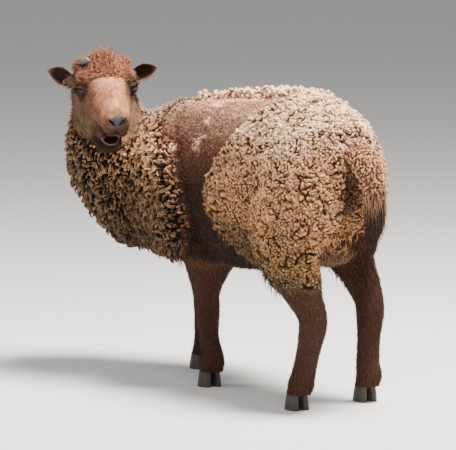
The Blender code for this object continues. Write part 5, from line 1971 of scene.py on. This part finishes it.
eye_material, eye_shader = principled("eye", roughness=0.06)
tree = eye_material.node_tree
look = attribute(tree, "look", "Vector")
side_way, up_way = add_node(tree, "ShaderNodeSeparateXYZ", None, Vector=look).outputs[:2]
centred = (side_way, maths(tree, "SUBTRACT", up_way, PUPIL_LIFT))
wide, tall = (
    maths(tree, "POWER", maths(tree, "ABSOLUTE", maths(tree, "DIVIDE", way, half)), 3.0)
    for way, half in zip(centred, PUPIL_HALF_SIZE)
)
pupil = ranged(tree, maths(tree, "ADD", wide, tall), 0.8, 1.2, 1.0, 0.0)
squares = [maths(tree, "MULTIPLY", way, way) for way in (side_way, up_way)]
away = maths(tree, "SQRT", maths(tree, "ADD", *squares))
iris_edge = ranged(tree, away, 0.80, 0.92, 0.0, 1.0)
amber = mixed(tree, noise(tree, look, 14.0, 2.0)[0], AMBER_DARK, AMBER_LIGHT)
iris = mixed(tree, iris_edge, amber, IRIS_RIM)
tree.links.new(mixed(tree, pupil, iris, PUPIL_BLACK), eye_shader.inputs["Base Color"])
eye_shader.inputs["Coat Weight"].default_value = 0.0
eye_shader.inputs["Specular IOR Level"].default_value = 0.35
for node_name, side in EYE_PARTS:
    ball_mesh = eye_mesh(side)
    ball_mesh.materials.append(eye_material)
    eye = make_object(node_name + "_look", ball_mesh)
    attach(eye, "root")
    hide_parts(node_name)
    print(eye.name, "has", triangles_in(ball_mesh), "triangles")

# %% [markdown]
# A scur is a small loose horn. It is lofted along a curve with low rings round it, and sunk
# into the crown, the left one so deep that the hair nearly hides it. The claws keep the shapes
# of the solid model. Horn is darker and lighter by fine noise, which also makes it rough.

# %% Horn
SCUR_LENGTH = 0.019
SCUR_HALF_SIZE = (0.0056, 0.0074)
SCUR_TAPER = ((-0.35, 0.0, 0.35, 0.7, 0.9, 1.0), (0.70, 1.0, 0.88, 0.62, 0.38, 0.06))
SCUR_PARTS = (("scur_left", 1, 0.0105), ("scur_right", -1, 0.0018))


def horn_material(name, dark, light, scale):
    material, shader = principled(name, roughness=0.55)
    tree = material.node_tree
    grain = noise(tree, object_place(tree), scale, 4.0)[0]
    base = mixed(tree, grain, (*dark, 1.0), (*light, 1.0))
    tree.links.new(base, shader.inputs["Base Color"])
    tree.links.new(bumped(tree, grain, 0.4, 0.001), shader.inputs["Normal"])
    return material


def scur_mesh(side, sunk):
    aim, back = mirrored(SCUR_AIM, side), Vector((-1.0, 0.0, 0.15))
    across = aim.cross(back).normalized()
    rings = []
    for t in np.linspace(-0.35, 1.0, 28):
        size = np.interp(t, *SCUR_TAPER) * (1 + 0.05 * math.sin(52 * t))
        half_sizes = [half * size for half in SCUR_HALF_SIZE]
        centre = mirrored(SCUR_ROOT, side) + aim * (SCUR_LENGTH * t) + back * (0.010 * t * t)
        centre = centre - Vector((0, 0, sunk + 0.012 * min(t, 0) ** 2 * 4))
        rings.append(ring(np.array(centre), across, across.cross(aim), *half_sizes, 20, 2.0))
    return joined([loft(rings)], Matrix.Translation(HOME) @ head_matrix())


scur_horn = horn_material("scur_horn", (0.022, 0.019, 0.018), (0.17, 0.155, 0.145), 260.0)
hoof_horn = horn_material("hoof_horn", (0.012, 0.009, 0.007), (0.060, 0.046, 0.037), 180.0)
for obj in bpy.data.objects:
    if obj.type == "MESH" and obj.name.startswith("claw_"):
        obj.data.materials.clear()
        obj.data.materials.append(hoof_horn)
for node_name, side, sunk in SCUR_PARTS:
    horn_mesh = scur_mesh(side, sunk)
    horn_mesh.shade_smooth()
    horn_mesh.materials.append(scur_horn)
    horn = make_object(node_name + "_horn", horn_mesh)
    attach(horn, "root")
    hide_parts(node_name)
    print(horn.name, "has", triangles_in(horn_mesh), "triangles")

# %% [markdown]
# Last, the skin takes the place of the nodes of flesh, and every piece rides on the one body.

# %% Put the pieces on the model
FLESH_NODES = ("torso", "neck", "head", "tail", "ear_left", "ear_right")
LEG_NODES = ("foreleg_left", "foreleg_right", "hindleg_left", "hindleg_right")
skin_mesh.transform(Matrix.Translation(HOME))
skin = make_object("skin", skin_mesh)
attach(skin, "root")
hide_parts(*FLESH_NODES, *LEG_NODES)
for piece in coat_pieces:
    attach(piece, "root")
bpy.data.objects.remove(growth)
total = sum(triangles_in(piece.data) for piece in coat_pieces)
print("the coat has", total, "triangles in", len(coat_pieces), "pieces")
